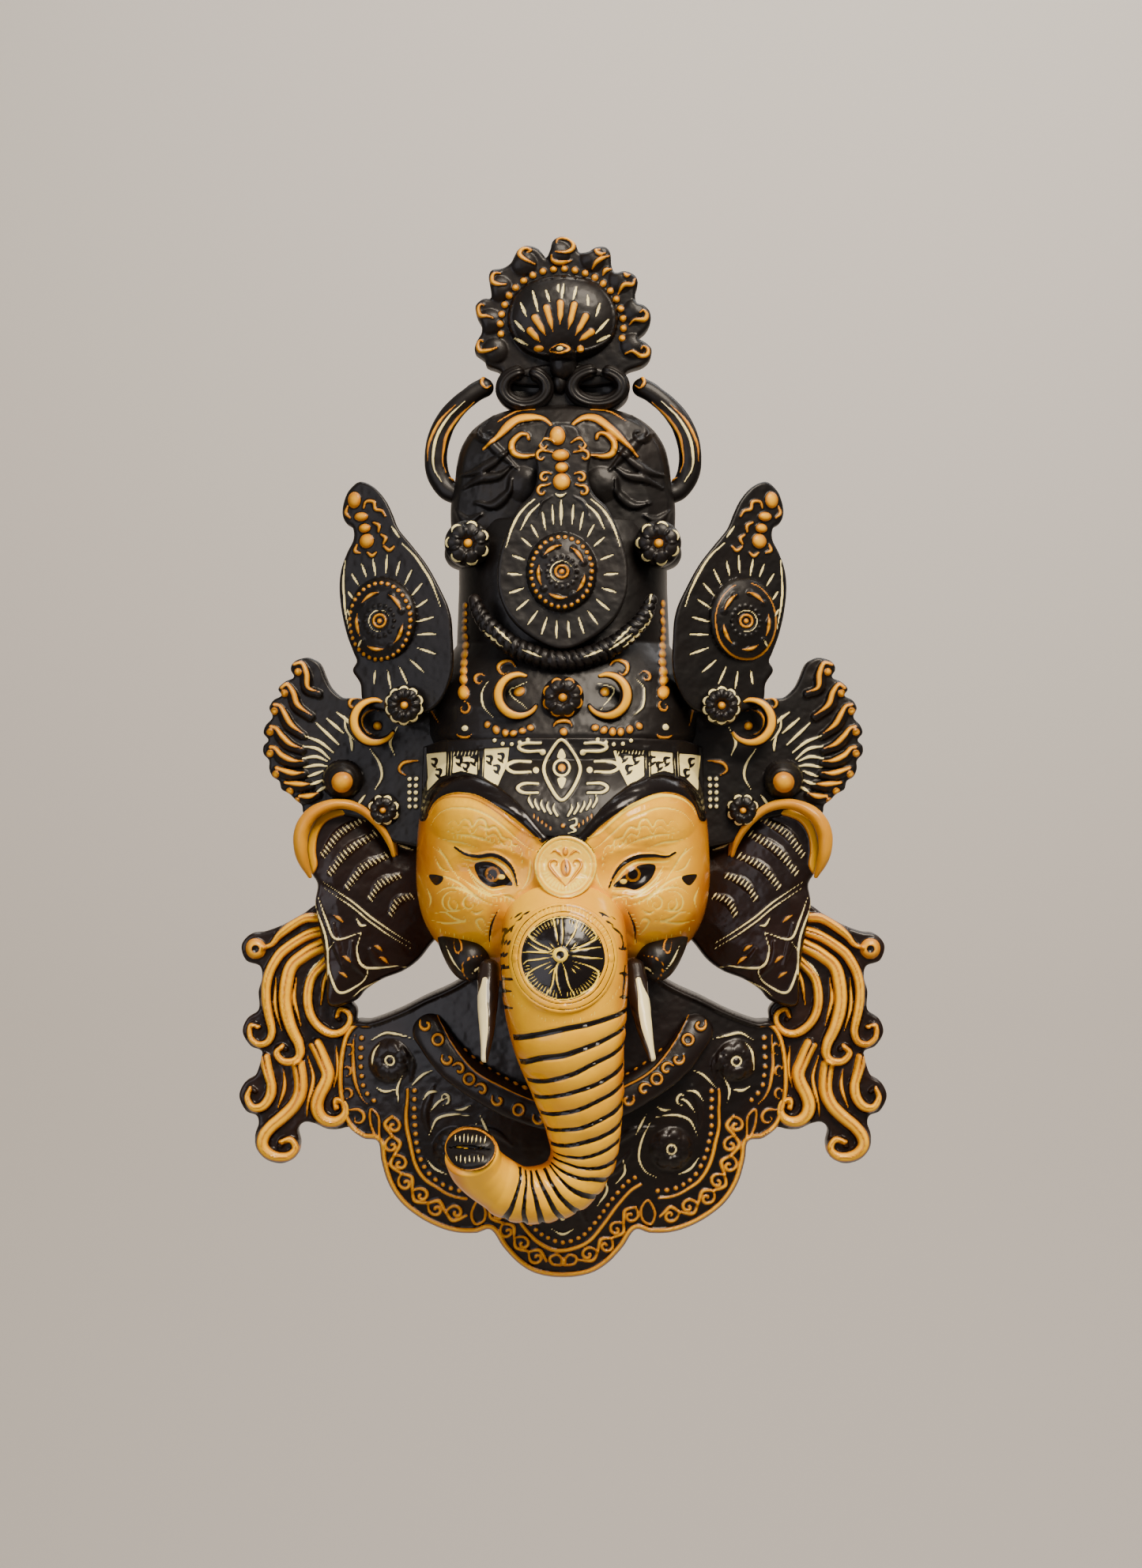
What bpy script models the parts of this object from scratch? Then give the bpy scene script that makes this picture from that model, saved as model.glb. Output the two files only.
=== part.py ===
"""Ganesha wall mask: one hollow-backed resin casting.

Frame: metres, +Z up. The wall is the plane y = 0, the mask faces -Y, and the origin is on
the flat back of the crown, just below the hole that takes the nail.
The carving is free form. Its points are (x, z) or (x, z, depth), in millimetres of the
mask as drawn, with depth counted out from the wall, and at() turns them into metres.
"""

import math

import bmesh
import bpy
from mathutils import Vector

# Driving dimensions, in metres
MASK_HEIGHT = 0.457
RELIEF_DEPTH = 0.110
HOLLOW_WALL = 0.013
NAIL_HOLE_RADIUS = 0.0035
NAIL_HOLE_DEPTH = 0.013
NAIL_HOLE_RISE = 0.014
FLAME_THICKNESS = 0.012
FLAME_WALL_GAP = 0.003
FAN_THICKNESS = 0.014
EAR_THICKNESS = 0.009
LEAF_THICKNESS = 0.011
DISC_THICKNESS = 0.014
COLLAR_EDGE = 0.016
TRUNK_ROOT_RADIUS = 0.0265
TRUNK_TIP_RADIUS = 0.0115
TUSK_ROOT_RADIUS = 0.005

# The mask as drawn, in millimetres
DRAWN_HEIGHT = 457.0
DRAWN_DEPTH = 110.0
BEHIND_WALL = -4.0
EDGE_ROUND = 0.8

HEIGHT_SHARE = MASK_HEIGHT / DRAWN_HEIGHT
DEPTH_SHARE = RELIEF_DEPTH / DRAWN_DEPTH

RESIN_COLOUR = (0.035, 0.028, 0.026, 1.0)
RESIN_ROUGHNESS = 0.45


def at(x, z, depth):
    """A drawn point as a place in the mask's frame."""
    return Vector((x * HEIGHT_SHARE, -depth * DEPTH_SHARE, z * HEIGHT_SHARE))


def drawn(size):
    """A size in metres across the mask as a drawn length."""
    return size / HEIGHT_SHARE


def drawn_depth(size):
    """A thickness in metres as a drawn depth."""
    return size / DEPTH_SHARE


def mirrored(points):
    """The same points on the mask's other side."""
    return [(-point[0], *point[1:]) for point in points]


def both_halves(half):
    """A closed outline from its left half, which starts and ends on the centre line."""
    return half + [(-x, z) for x, z in reversed(half[1:-1])]


def spline(points, parts):
    """Points along a smooth open curve through the given ones, with parts steps a span."""
    ends = [points[0], *points, points[-1]]
    curve = []
    for before, start, end, after in zip(ends, ends[1:], ends[2:], ends[3:]):
        for step in range(parts):
            t = step / parts
            curve.append(
                tuple(
                    0.5 * (2 * b + (c - a) * t + (2 * a - 5 * b + 4 * c - d) * t * t
                           + (3 * b - a - 3 * c + d) * t ** 3)
                    for a, b, c, d in zip(before, start, end, after)
                )
            )
    return [*curve, tuple(float(v) for v in points[-1])]


def offset(outline, distance):
    """The outline moved inwards by a small distance."""
    area = sum(a[0] * b[1] - b[0] * a[1] for a, b in zip(outline, outline[1:] + outline[:1]))
    side = 1 if area > 0 else -1
    moved = []
    for before, point, after in zip(outline[-1:] + outline[:-1], outline, outline[1:] + outline[:1]):
        tx, tz = after[0] - before[0], after[1] - before[1]
        length = math.hypot(tx, tz)
        moved.append((point[0] - side * tz / length * distance, point[1] + side * tx / length * distance))
    return moved


def flat(x, z):
    """The lean of a part that stands parallel to the wall."""
    return 0.0


def leaning(x, z, across, up):
    """A lean that is zero at (x, z) and grows by across and up for each millimetre right and up."""
    return lambda px, pz: (px - x) * across + (pz - z) * up


def loft(name, rings, endless=False):
    """A closed solid through rings of equally many points: capped, or joined end to end."""
    bm = bmesh.new()
    loops = [[bm.verts.new(point) for point in ring] for ring in rings]
    following = loops[1:] + loops[:1] if endless else loops[1:]
    for near, far in zip(loops, following):
        count = len(near)
        for i in range(count):
            bm.faces.new((near[i], near[(i + 1) % count], far[(i + 1) % count], far[i]))
    if not endless:
        bm.faces.new(loops[0])
        bm.faces.new(loops[-1])
    bm.normal_update()
    bmesh.ops.triangulate(bm, faces=[face for face in bm.faces if len(face.verts) > 4])
    bmesh.ops.recalc_face_normals(bm, faces=bm.faces)
    mesh = bpy.data.meshes.new(name)
    bm.to_mesh(mesh)
    bm.free()
    return bpy.data.objects.new(name, mesh)


def layers(name, outline_depths, lean=flat):
    """A solid whose layers are (outline, depth), from the back to the front."""
    return loft(
        name,
        [[at(x, z, depth + lean(x, z)) for x, z in outline] for outline, depth in outline_depths],
    )


def plate(name, outline, back, thickness, lean=flat):
    """A plate cut to the outline, with its front edge rounded off."""
    front = back + thickness
    return layers(
        name,
        [(outline, back), (outline, front - EDGE_ROUND), (offset(outline, EDGE_ROUND), front)],
        lean,
    )


def pillow(name, outline, centre, profile, lean=flat):
    """A swelling solid: profile lists (share of the outline about centre, depth)."""
    cx, cz = centre
    return layers(
        name,
        [
            ([(cx + (x - cx) * share, cz + (z - cz) * share) for x, z in outline], depth)
            for share, depth in profile
        ],
        lean,
    )


def ellipse(centre, rx, rz, count):
    """An ellipse as count outline points."""
    return [
        (centre[0] + rx * math.cos(2 * math.pi * i / count), centre[1] + rz * math.sin(2 * math.pi * i / count))
        for i in range(count)
    ]


def tube(name, points, radii, sides, flatness=1.0):
    """A round or flattened rod along (x, z, depth) points, with a radius at each point.
    flatness is the rod's height out of the wall as a share of its width."""
    places = [Vector(point) for point in points]
    rings = []
    out = Vector((0.0, 0.0, 1.0))
    for i, place in enumerate(places):
        along = (places[min(i + 1, len(places) - 1)] - places[max(i - 1, 0)]).normalized()
        out = (out - along * out.dot(along)).normalized()
        across = along.cross(out)
        ring = []
        for k in range(sides):
            turn = 2 * math.pi * k / sides
            offset_across = across * (radii[i] * math.cos(turn))
            offset_out = out * (radii[i] * flatness * math.sin(turn))
            ring.append(at(*(place + offset_across + offset_out)))
        rings.append(ring)
    return loft(name, rings)


def hoop(name, centre, rx, rz, depth, radius):
    """A closed ring of round section, parallel to the wall."""
    rings = []
    for i in range(10):
        angle = 2 * math.pi * i / 10
        ring = []
        for k in range(5):
            out = radius * math.cos(2 * math.pi * k / 5)
            lift = radius * math.sin(2 * math.pi * k / 5)
            ring.append(
                at(
                    centre[0] + (rx + out) * math.cos(angle),
                    centre[1] + (rz + out) * math.sin(angle),
                    depth + 1.2 * lift,
                )
            )
        rings.append(ring)
    return loft(name, rings, endless=True)


def swelling(start, middle, end, count):
    """Radii that grow from start to middle and shrink to end."""
    return [
        start + (middle - start) * math.sin(math.pi * i / (count - 1))
        + (end - start) * i / (count - 1)
        for i in range(count)
    ]


def rosette(name, centre, depth, radius, height, petals, lean=flat):
    """A flower boss with a scalloped rim and a raised heart."""
    count = petals * 2
    rim = [
        (
            centre[0] + radius * (1.0 - 0.1 * (i % 2)) * math.cos(2 * math.pi * i / count),
            centre[1] + radius * (1.0 - 0.1 * (i % 2)) * math.sin(2 * math.pi * i / count),
        )
        for i in range(count)
    ]
    profile = [
        (1.0, depth - 8.0), (1.0, depth + 0.4 * height), (0.65, depth + 0.7 * height),
        (0.3, depth + height),
    ]
    return pillow(name, rim, centre, profile, lean)


# Collar: three hanging lobes and the two shoulders, with the raised neck band on it
COLLAR_HALF = [
    (0, -353.5), (-11, -352), (-19, -347.5), (-26, -340), (-31.5, -332), (-38, -333.5), (-46, -333.5),
    (-54, -331.5), (-63, -327), (-71, -320.5), (-76.5, -312), (-79.5, -302), (-81, -293.5), (-88, -292),
    (-95.5, -285), (-99, -269.3), (-97.2, -250.2), (-91.7, -241.2), (-84, -240.5), (-72, -236), (-60, -230),
    (-49, -225), (-30, -215), (0, -210),
]
COLLAR_CENTRE = (0, -262)
NECK_BAND = [(-61, -238, 27), (-56, -247, 32), (-46, -259, 36), (-31, -269, 40), (-16, -276, 42), (0, -279, 43)]
NECK_BAND_HALF_WIDTH = 7.5
CHEST_FLOWERS = [(-75, -258), (-47.5, -296)]


def collar():
    edge = drawn_depth(COLLAR_EDGE)
    profile = [
        (1.0, BEHIND_WALL), (1.0, edge - 2), (0.98, edge), (0.86, edge + 4), (0.55, edge + 14),
        (0.2, edge + 21),
    ]
    yield pillow("collar_body", both_halves(COLLAR_HALF), COLLAR_CENTRE, profile)
    band = NECK_BAND + mirrored(NECK_BAND)[-2::-1]
    yield tube("neck_band", band, [NECK_BAND_HALF_WIDTH] * len(band), 6, 0.5)
    for side in (1, -1):
        for x, z in CHEST_FLOWERS:
            yield rosette("chest_flower", (side * x, z), edge + 6, 9.0, 5.0, 6)


# Shoulder flames: an openwork plate of curling locks on each side
FLAME_OUTLINE = [
    (-106, -190), (-114, -194), (-123, -199), (-131, -202), (-137, -203), (-141, -208), (-139, -214.5),
    (-133, -217), (-132, -222), (-133.5, -228), (-133.5, -236), (-138.5, -240), (-140.5, -246),
    (-137, -252), (-132, -254.5), (-133, -260), (-135, -265), (-139.5, -268), (-142, -274),
    (-139, -280.5), (-134.5, -282.5), (-133.5, -286), (-135, -291), (-134.5, -297), (-130, -302),
    (-123, -303.5), (-117, -300.5), (-115.5, -295), (-116.5, -289), (-113.5, -285.5), (-109, -286),
    (-103, -288.5), (-96, -288), (-88, -284), (-84, -262), (-87, -248), (-90.5, -242), (-90.5, -236),
    (-94, -231), (-98, -222), (-98, -200),
]
# Each lock: its points, the eye it curls into with that eye's radius, and its half width
LOCKS = [
    ([(-108, -195.5), (-120, -199.5), (-130, -205)], (-136, -209, 4.2), 2.4),
    ([(-106, -203), (-118, -207.5), (-126, -215), (-129.5, -226), (-128, -240), (-131, -248.5)], (-135, -244.5, 4.6), 3.0),
    ([(-106, -210), (-116, -215), (-121, -225), (-121, -235), (-116, -246), (-114.5, -255)], (-120.5, -254.5, 6.0), 3.8),
    ([(-106, -219), (-110, -228), (-108, -239), (-102, -246)], (-97.2, -240.1, 6.4), 2.8),
    ([(-131, -256), (-127.5, -264), (-129, -274)], (-135.5, -274, 5.6), 3.2),
    ([(-115, -262), (-116, -272), (-124, -283), (-130, -291)], (-123.5, -295.5, 7.2), 4.2),
    ([(-107, -254), (-104, -263), (-106, -273)], (-100.5, -280, 6.6), 4.0),
]


def flames():
    back = drawn_depth(FLAME_WALL_GAP)
    front = back + drawn_depth(FLAME_THICKNESS)
    for side in (1, -1):
        outline = [(side * x, z) for x, z in FLAME_OUTLINE]
        yield plate("flame_plate", outline, back, front - back)
        for points, (eye_x, eye_z, radius), half_width in LOCKS:
            path = [(side * x, z, front) for x, z in points]
            yield tube("flame_lock", path, swelling(1.5, half_width, 2.2, len(path)), 4, 1.3)
            centre = (side * eye_x, eye_z)
            eye = [(1.0, front - 5), (0.8, front + 4.5)]
            yield pillow("flame_eye", ellipse(centre, radius, radius, 8), centre, eye)


# Ears: cupped fans behind the cheeks with a heavy rolled rim
EAR_OUTLINE = [
    (-97, -146), (-105, -149), (-110, -155), (-112, -164), (-110, -175), (-107, -181), (-108, -189),
    (-106.5, -199), (-104.5, -210), (-103, -222), (-102, -234), (-91, -232), (-86, -227), (-79, -222.5),
    (-70, -219), (-63, -214), (-56.5, -206), (-46, -196), (-46, -170), (-62, -164), (-76, -158), (-86, -149),
]
EAR_CENTRE = (-84, -190)
EAR_BACK = 12.0
EAR_LEAN = 0.16
EAR_RIM = [
    (-109.5, -178, 32), (-113, -169, 35), (-113.5, -159, 36), (-109, -150.5, 36), (-99, -146, 35),
    (-89, -147.5, 34), (-81, -154, 32), (-76, -161.5, 30), (-73.5, -169, 28),
]
EAR_RIM_RADII = [0.8, 2.6, 3.2, 3.0, 2.4, 2.0, 1.8, 1.4, 0.8]


def ears():
    thickness = drawn_depth(EAR_THICKNESS)
    profile = [
        (1.0, EAR_BACK), (1.0, EAR_BACK + 0.6 * thickness), (0.96, EAR_BACK + thickness),
        (0.6, EAR_BACK + 1.3 * thickness), (0.2, EAR_BACK + 1.4 * thickness),
    ]
    for side in (1, -1):
        outline = [(side * x, z) for x, z in EAR_OUTLINE]
        centre = (side * EAR_CENTRE[0], EAR_CENTRE[1])
        lean = leaning(centre[0], centre[1], -side * EAR_LEAN, 0.0)
        yield pillow("ear_fan", outline, centre, profile, lean)
        rim = [(side * x, z, depth - 4.0) for x, z, depth in EAR_RIM]
        yield tube("ear_rim", rim, EAR_RIM_RADII, 6, 1.6)


# Side fans above the ears: crested plates whose edge is a row of curling petals
FAN_OUTLINE = [
    (-105.5, -86), (-103.5, -91), (-101, -95.5), (-96, -99.5), (-88, -100), (-70, -104), (-50, -112),
    (-48, -160), (-72, -163), (-84, -154), (-98, -151), (-112, -151), (-114, -146.5), (-117, -144),
    (-119.5, -141.5), (-123, -139.5), (-124, -136), (-127, -134), (-128.5, -130.5), (-128.5, -127),
    (-131, -124), (-131, -120.5), (-128.8, -118), (-131, -115), (-130, -111.5), (-127, -108),
    (-128.5, -104), (-126.5, -100.5), (-123, -98.5), (-124.5, -95.5), (-121.5, -92.5), (-117.5, -90.5),
    (-119, -87), (-117, -83.5), (-111.5, -82), (-107.5, -83.5),
]
FAN_BACK = 8.0
FAN_LEAN = 0.15
FAN_BOSS = (-96, -135.5)


def fans():
    for side in (1, -1):
        outline = [(side * x, z) for x, z in FAN_OUTLINE]
        lean = leaning(side * -110, -120, side * FAN_LEAN, 0.0)
        yield plate("fan_plate", outline, FAN_BACK, drawn_depth(FAN_THICKNESS), lean)
        boss = (side * FAN_BOSS[0], FAN_BOSS[1])
        profile = [(1.0, 12), (1.0, 28), (0.66, 30), (0.6, 34), (0.3, 37)]
        yield pillow("fan_boss", ellipse(boss, 8.6, 8.6, 8), boss, profile)
        yield rosette("ear_flower", (side * -78, -148.5), 27, 7.0, 6.0, 6)


# Crown: the drum, the back dome, the swag and the flowers
DRUM_SECTIONS = [
    (-128, 56, 66), (-116, 61, 66), (-104, 62, 62), (-90, 57, 56), (-76, 47, 49), (-50, 46, 45),
    (-32, 46, 42), (-22, 42, 38),
]
DOME_HALF = [
    (0, 29), (-14, 28), (-28, 25), (-38, 19), (-44, 11), (-46.5, 2), (-47.5, -7), (-49, -15), (-49, -25),
    (-48, -42), (0, -46),
]
SWAG = [(-39, -56, 46), (-33, -68, 50), (-20, -79, 54), (0, -85, 57)]
CROWN_FLOWER = (-41, -33.5)
MOONS = [
    # centre, depth, radius, opening direction in degrees, flower beside it
    ((-18.5, -99.5), 63.0, 8.6, 20.0),
    ((-81, -110), 34.0, 9.0, 20.0),
]
FLOWERS = [((0, -100.5), 62.0, 9.0), ((-68, -103.5), 44.0, 8.6)]


def half_round(width, depth, z):
    """A drum section: flat behind the wall and bulging in front."""
    count = 16
    section = [at(width, z, BEHIND_WALL)]
    for i in range(count + 1):
        angle = math.pi * i / count
        x = width * math.copysign(abs(math.cos(angle)) ** 0.8, math.cos(angle))
        section.append(at(x, z, depth * max(math.sin(angle), 0.0) ** 0.8 + 0.5))
    return [*section, at(-width, z, BEHIND_WALL)]


def moon(centre, depth, radius, opening):
    """A crescent: a ring that is thick opposite its opening and fades out beside it."""
    count = 8
    points, radii = [], []
    for i in range(count + 1):
        t = i / count
        angle = math.radians(opening + 45 + 270 * t)
        points.append((centre[0] + radius * math.cos(angle), centre[1] + radius * math.sin(angle), depth))
        radii.append(0.8 + 2.0 * math.sin(math.pi * t))
    return points, radii


def crown():
    yield loft("crown_drum", [half_round(width, depth, z) for z, width, depth in DRUM_SECTIONS])
    dome = [(1.0, BEHIND_WALL), (1.0, 17), (0.93, 25), (0.75, 30), (0.35, 33)]
    yield pillow("crown_dome", both_halves(DOME_HALF), (0, -8), dome)
    swag = SWAG + mirrored(SWAG)[-2::-1]
    yield tube("crown_swag", swag, swelling(2.5, 4.5, 2.5, len(swag)), 6, 1.0)
    for side in (1, -1):
        yield rosette("crown_flower", (side * CROWN_FLOWER[0], CROWN_FLOWER[1]), 38, 10.0, 7.0, 6)
        for centre, depth, radius, opening in MOONS:
            points, radii = moon(centre, depth, radius, opening)
            yield tube("crown_moon", [(side * x, z, d) for x, z, d in points], radii, 5, 1.6)
    for (x, z), depth, radius in FLOWERS:
        for side in (1, -1) if x else (1,):
            yield rosette("band_flower", (side * x, z), depth, radius, 7.0, 6)


# Crown leaves: one in front and one on each side, each with a flower boss and a knobbed tip
CENTRE_LEAF_HALF = [
    (0, 17.5), (-6, 16), (-8.5, 10.5), (-12, 5), (-11, -2), (-11.5, -9), (-14, -14), (-19, -19),
    (-23, -27), (-26.5, -37), (-28, -47), (-27, -57), (-22, -67), (-12, -75.5), (0, -80),
]
SIDE_LEAF = [
    (-88, -6), (-92.5, -9), (-94.8, -13), (-96, -19), (-94.5, -23.5), (-91.3, -26), (-91, -31), (-94, -37),
    (-96.5, -44), (-97.3, -52), (-96.3, -62), (-94, -72), (-91, -80), (-89.5, -84), (-91.3, -88),
    (-88, -93.5), (-84, -104), (-58, -106), (-48, -92), (-47.5, -72), (-49, -62), (-53, -53),
    (-58.5, -43), (-65, -34.5), (-71, -27), (-74, -20), (-77, -14), (-82, -8.5),
]
LEAF_BOSS_PROFILE = [(1.0, -9.0), (1.0, 2.5), (0.8, 4.0), (0.45, 5.5), (0.15, 8.0)]
CENTRE_LEAF_BACK = 42.0
SIDE_LEAF_BACK = 27.0
SIDE_LEAF_LEAN = 0.5
CENTRE_KNOBS = [(-2.2, 13.2, 4.2), (-1.5, 3.5, 3.6), (-1.0, -8.5, 4.6)]
SIDE_KNOBS = [(-91.0, -14, 4.0), (-87.5, -22.5, 4.2), (-85, -31, 4.2)]


def knob(name, x, z, radius, depth):
    """A low round knob that stands out of a leaf."""
    profile = [(1.0, depth - 4), (0.7, depth + 3)]
    return pillow(name, ellipse((x, z), radius, radius, 8), (x, z), profile)


def leaves():
    thickness = drawn_depth(LEAF_THICKNESS)
    upright = leaning(0, -30, 0.0, -0.12)
    yield plate("centre_leaf", both_halves(CENTRE_LEAF_HALF), CENTRE_LEAF_BACK, thickness, upright)
    front = CENTRE_LEAF_BACK + thickness
    boss = [(share, front + height) for share, height in LEAF_BOSS_PROFILE]
    yield pillow("centre_boss", ellipse((-0.5, -47), 15, 15, 12), (-0.5, -47), boss, upright)
    for x, z, radius in CENTRE_KNOBS:
        yield knob("centre_knob", x, z, radius, front + upright(x, z))
    for side in (1, -1):
        outline = [(side * x, z) for x, z in SIDE_LEAF]
        lean = leaning(side * -73, -55, side * SIDE_LEAF_LEAN, 0.0)
        yield plate("side_leaf", outline, SIDE_LEAF_BACK, thickness, lean)
        front = SIDE_LEAF_BACK + thickness
        centre = (side * -77, -66)
        boss = [(share, front + height) for share, height in LEAF_BOSS_PROFILE]
        yield pillow("side_boss", ellipse(centre, 13, 16, 12), centre, boss, lean)
        for x, z, radius in SIDE_KNOBS:
            yield knob("side_knob", side * x, z, radius, front + lean(side * x, z))


# Top: the petalled sun disc on its double ring, and the two hanging loops
DISC_CENTRE = (0, 65)
DISC_PETALS = [90, 117, 144.5, 172, 198]
DISC_FOOT = [(-31, 44), (-24, 38)]
RING_CENTRE = (-16, 36)
LOOP = [(-31, 39, 11), (-41, 33, 12), (-50, 24, 12), (-55, 13, 12), (-55.5, 1, 12), (-51, -8, 13), (-44, -11, 15)]
LOOP_RADII = [4.4, 4.2, 4.6, 5.0, 5.0, 4.6, 4.2]


def petal_outline():
    """The disc's edge: five curled petals on each half, down to the foot."""
    cx, cz = DISC_CENTRE
    half = []
    for angle in DISC_PETALS:
        tip = 36.5 + 0.022 * (angle - 90)
        for turn, radius in ((-9.5, tip - 2.0), (-3.0, tip + 0.6), (4.0, tip - 0.2), (9.0, tip - 3.5), (13.0, tip - 7.0)):
            place = math.radians(angle + turn)
            half.append((cx + radius * math.cos(place), cz + radius * math.sin(place)))
    half = [(min(x, 0.0), z) for x, z in half if x < 0.0]
    return both_halves([(0, 102.5), *half, *DISC_FOOT, (0, 36)])


def top():
    thickness = drawn_depth(DISC_THICKNESS)
    back = 4.0
    yield plate("sun_disc", petal_outline(), back, thickness)
    shell = [(1.0, 8), (1.0, back + thickness), (0.8, 25), (0.4, 29.5)]
    yield pillow("sun_shell", ellipse((0, 65), 25.5, 20.5, 14), (0, 62), shell)
    bridge = ellipse((0, 35), 29, 12, 14)
    yield layers("ring_bridge", [(bridge, BEHIND_WALL), (bridge, 16), (offset(bridge, 3), 20)])
    for side in (1, -1):
        yield hoop("bridge_ring", (side * RING_CENTRE[0], RING_CENTRE[1]), 10, 7, 20, 3.4)
        loop = [(side * x, z, depth) for x, z, depth in LOOP]
        yield tube("crown_loop", loop, LOOP_RADII, 6, 0.9)
        eye = ellipse((side * -33, 37.5), 4.6, 4.6, 7)
        yield layers("loop_eye", [(eye, 8), (offset(eye, 0.8), 21)])
    drop = ellipse((0, 46.5), 6, 8, 10)
    yield layers("shell_drop", [(drop, 8), (offset(drop, 1.2), 30)])


# Head: the face with its brow rolls, lip folds, trunk and tusks
FACE_HALF = [
    (0, -117), (-26, -118), (-46, -123), (-58, -134), (-62, -150), (-63.5, -166), (-63.5, -182),
    (-60.5, -196), (-54, -207), (-46, -215), (-34, -221), (0, -226),
]
FACE_CENTRE = (0, -168)
FACE_PROFILE = [
    (0.94, BEHIND_WALL), (1.0, 28), (0.98, 42), (0.91, 55), (0.78, 67), (0.58, 76.5), (0.3, 83.5),
]
BROW = [
    (-60, -151, 43), (-57, -144, 52), (-51, -139, 61), (-43, -137, 68), (-34, -139, 74), (-25, -144, 80),
    (-16, -151.5, 84), (-8.5, -159.5, 86),
]
BROW_RADII = [2.5, 3.5, 4.0, 4.3, 4.3, 4.0, 3.4, 2.4]
LIP = [(-51, -201, 43), (-46, -206, 55), (-40, -211.5, 64), (-33.5, -216, 69)]
LIP_RADII = [3.5, 6.5, 8.7, 8.7]
TRUNK = [
    (0.5, -192, 68), (0.5, -208, 83), (1, -225, 85), (2.5, -243, 84), (6, -262, 80), (8.7, -280, 75),
    (8.5, -294, 71), (2.5, -305, 70), (-8.5, -310, 71), (-19.5, -309.5, 73), (-28.5, -304, 77),
    (-35.5, -297.5, 83), (-38.5, -289.5, 91),
]
TRUNK_TAPER = [0.95, 1.0, 0.98, 0.82, 0.56, 0.32, 0.17, 0.09, 0.04, 0.02, 0.0, 0.0, 0.0]
TUSKS = [
    [(-31.5, -212, 66), (-31.3, -222, 74), (-31.3, -232, 81), (-31.5, -243, 87), (-32.5, -253, 91)],
    [(30, -212, 66), (31.2, -222, 74), (32.7, -232, 81), (34.8, -243, 87), (37.5, -252.5, 91)],
]
EYE = (-30, -173.5)


def trunk_radii():
    """Radii along the trunk: full at the root, then narrowing steadily to the tip."""
    root, tip = drawn(TRUNK_ROOT_RADIUS), drawn(TRUNK_TIP_RADIUS)
    return [tip + (root - tip) * share for share in TRUNK_TAPER]


def head():
    for side in (1, -1):
        brow = [(side * x, z, depth) for x, z, depth in BROW]
        yield tube("brow_roll", brow, BROW_RADII, 6, 1.0)
        lobe = ellipse((side * -37, -152), 20, 13, 10)
        yield pillow("brow_lobe", lobe, (side * -37, -152), [(1.0, 50), (0.88, 64), (0.4, 73.5)],
                     leaning(side * -37, -152, side * 0.45, 0.0))
        eye = ellipse((side * EYE[0], EYE[1]), 11, 6.5, 10)
        yield pillow("eye_ball", eye, (side * EYE[0], EYE[1]), [(1.0, 60), (0.85, 73), (0.3, 76)],
                     leaning(side * EYE[0], EYE[1], side * 0.3, 0.0))
        cheek = ellipse((side * -42, -188), 19, 17, 10)
        yield pillow("cheek", cheek, (side * -42, -188), [(1.0, 40), (0.9, 57), (0.4, 67.5)],
                     leaning(side * -42, -188, side * 0.5, 0.0))
        yield tube("lip_fold", [(side * x, z, depth) for x, z, depth in LIP], LIP_RADII, 7, 1.0)
    root = drawn(TUSK_ROOT_RADIUS)
    for tusk in TUSKS:
        radii = [root * (1.0 - 0.75 * (i / (len(tusk) - 1)) ** 1.6) for i in range(len(tusk))]
        yield tube("tusk", tusk, radii, 7)
    trunk = spline(TRUNK, 2)
    radii = [r for (r,) in spline([(r,) for r in trunk_radii()], 2)]
    yield tube("trunk", trunk, radii, 12)
    boss = (-0.5, -208)
    yield pillow("nose_boss", ellipse(boss, 21, 21, 16), boss, [(1.0, 90), (1.0, 105), (0.8, 109), (0.3, 110)])


def face_hollow():
    """The open hollow behind the face, one wall thickness inside it."""
    wall, deep = drawn(HOLLOW_WALL), drawn_depth(HOLLOW_WALL)
    half_width = -min(x for x, _ in FACE_HALF)
    inner = 1.0 - wall / (0.8 * half_width)
    profile = [
        (inner, BEHIND_WALL - 2), (inner, 28 - deep), (0.97 * inner, 46 - deep), (0.87 * inner, 58 - deep),
        (0.68 * inner, 70 - deep), (0.4 * inner, 78 - deep), (0.15 * inner, 81 - deep),
    ]
    return pillow("face_hollow", both_halves(FACE_HALF), FACE_CENTRE, profile)


def crown_hollow():
    """The hollow behind the crown's drum, which opens into the one behind the face."""
    wall, deep = drawn(HOLLOW_WALL), drawn_depth(HOLLOW_WALL)
    sections = [(z, width - wall, depth - deep) for z, width, depth in DRUM_SECTIONS if z < -40]
    foot = (sections[0][0] - 20, sections[0][1] - 6, sections[0][2] - 8)
    top = (sections[-1][0] + 12, sections[-1][1] - 5, sections[-1][2] - 6)
    return loft("crown_hollow", [half_round(width, depth, z) for z, width, depth in (foot, *sections, top)])


def chest_hollow():
    """The shallow hollow behind the collar."""
    edge, deep = drawn_depth(COLLAR_EDGE), drawn_depth(HOLLOW_WALL)
    profile = [(0.74, BEHIND_WALL - 2), (0.7, edge + 5 - deep), (0.5, edge + 14 - deep), (0.2, edge + 20 - deep)]
    return pillow("chest_hollow", both_halves(COLLAR_HALF), COLLAR_CENTRE, profile)


def nail_hole():
    """The blind hole that takes the nail."""
    radius = drawn(NAIL_HOLE_RADIUS)
    mouth = ellipse((0, drawn(NAIL_HOLE_RISE)), radius, radius, 16)
    return layers("nail_hole", [(mouth, BEHIND_WALL - 2), (mouth, drawn_depth(NAIL_HOLE_DEPTH))])


def wall_cut():
    """Everything behind the wall's face, cut off so that the back is flat."""
    block = [(-200, -400), (200, -400), (200, 150), (-200, 150)]
    return layers("wall_cut", [(block, BEHIND_WALL - 20), (block, 0)])


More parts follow.
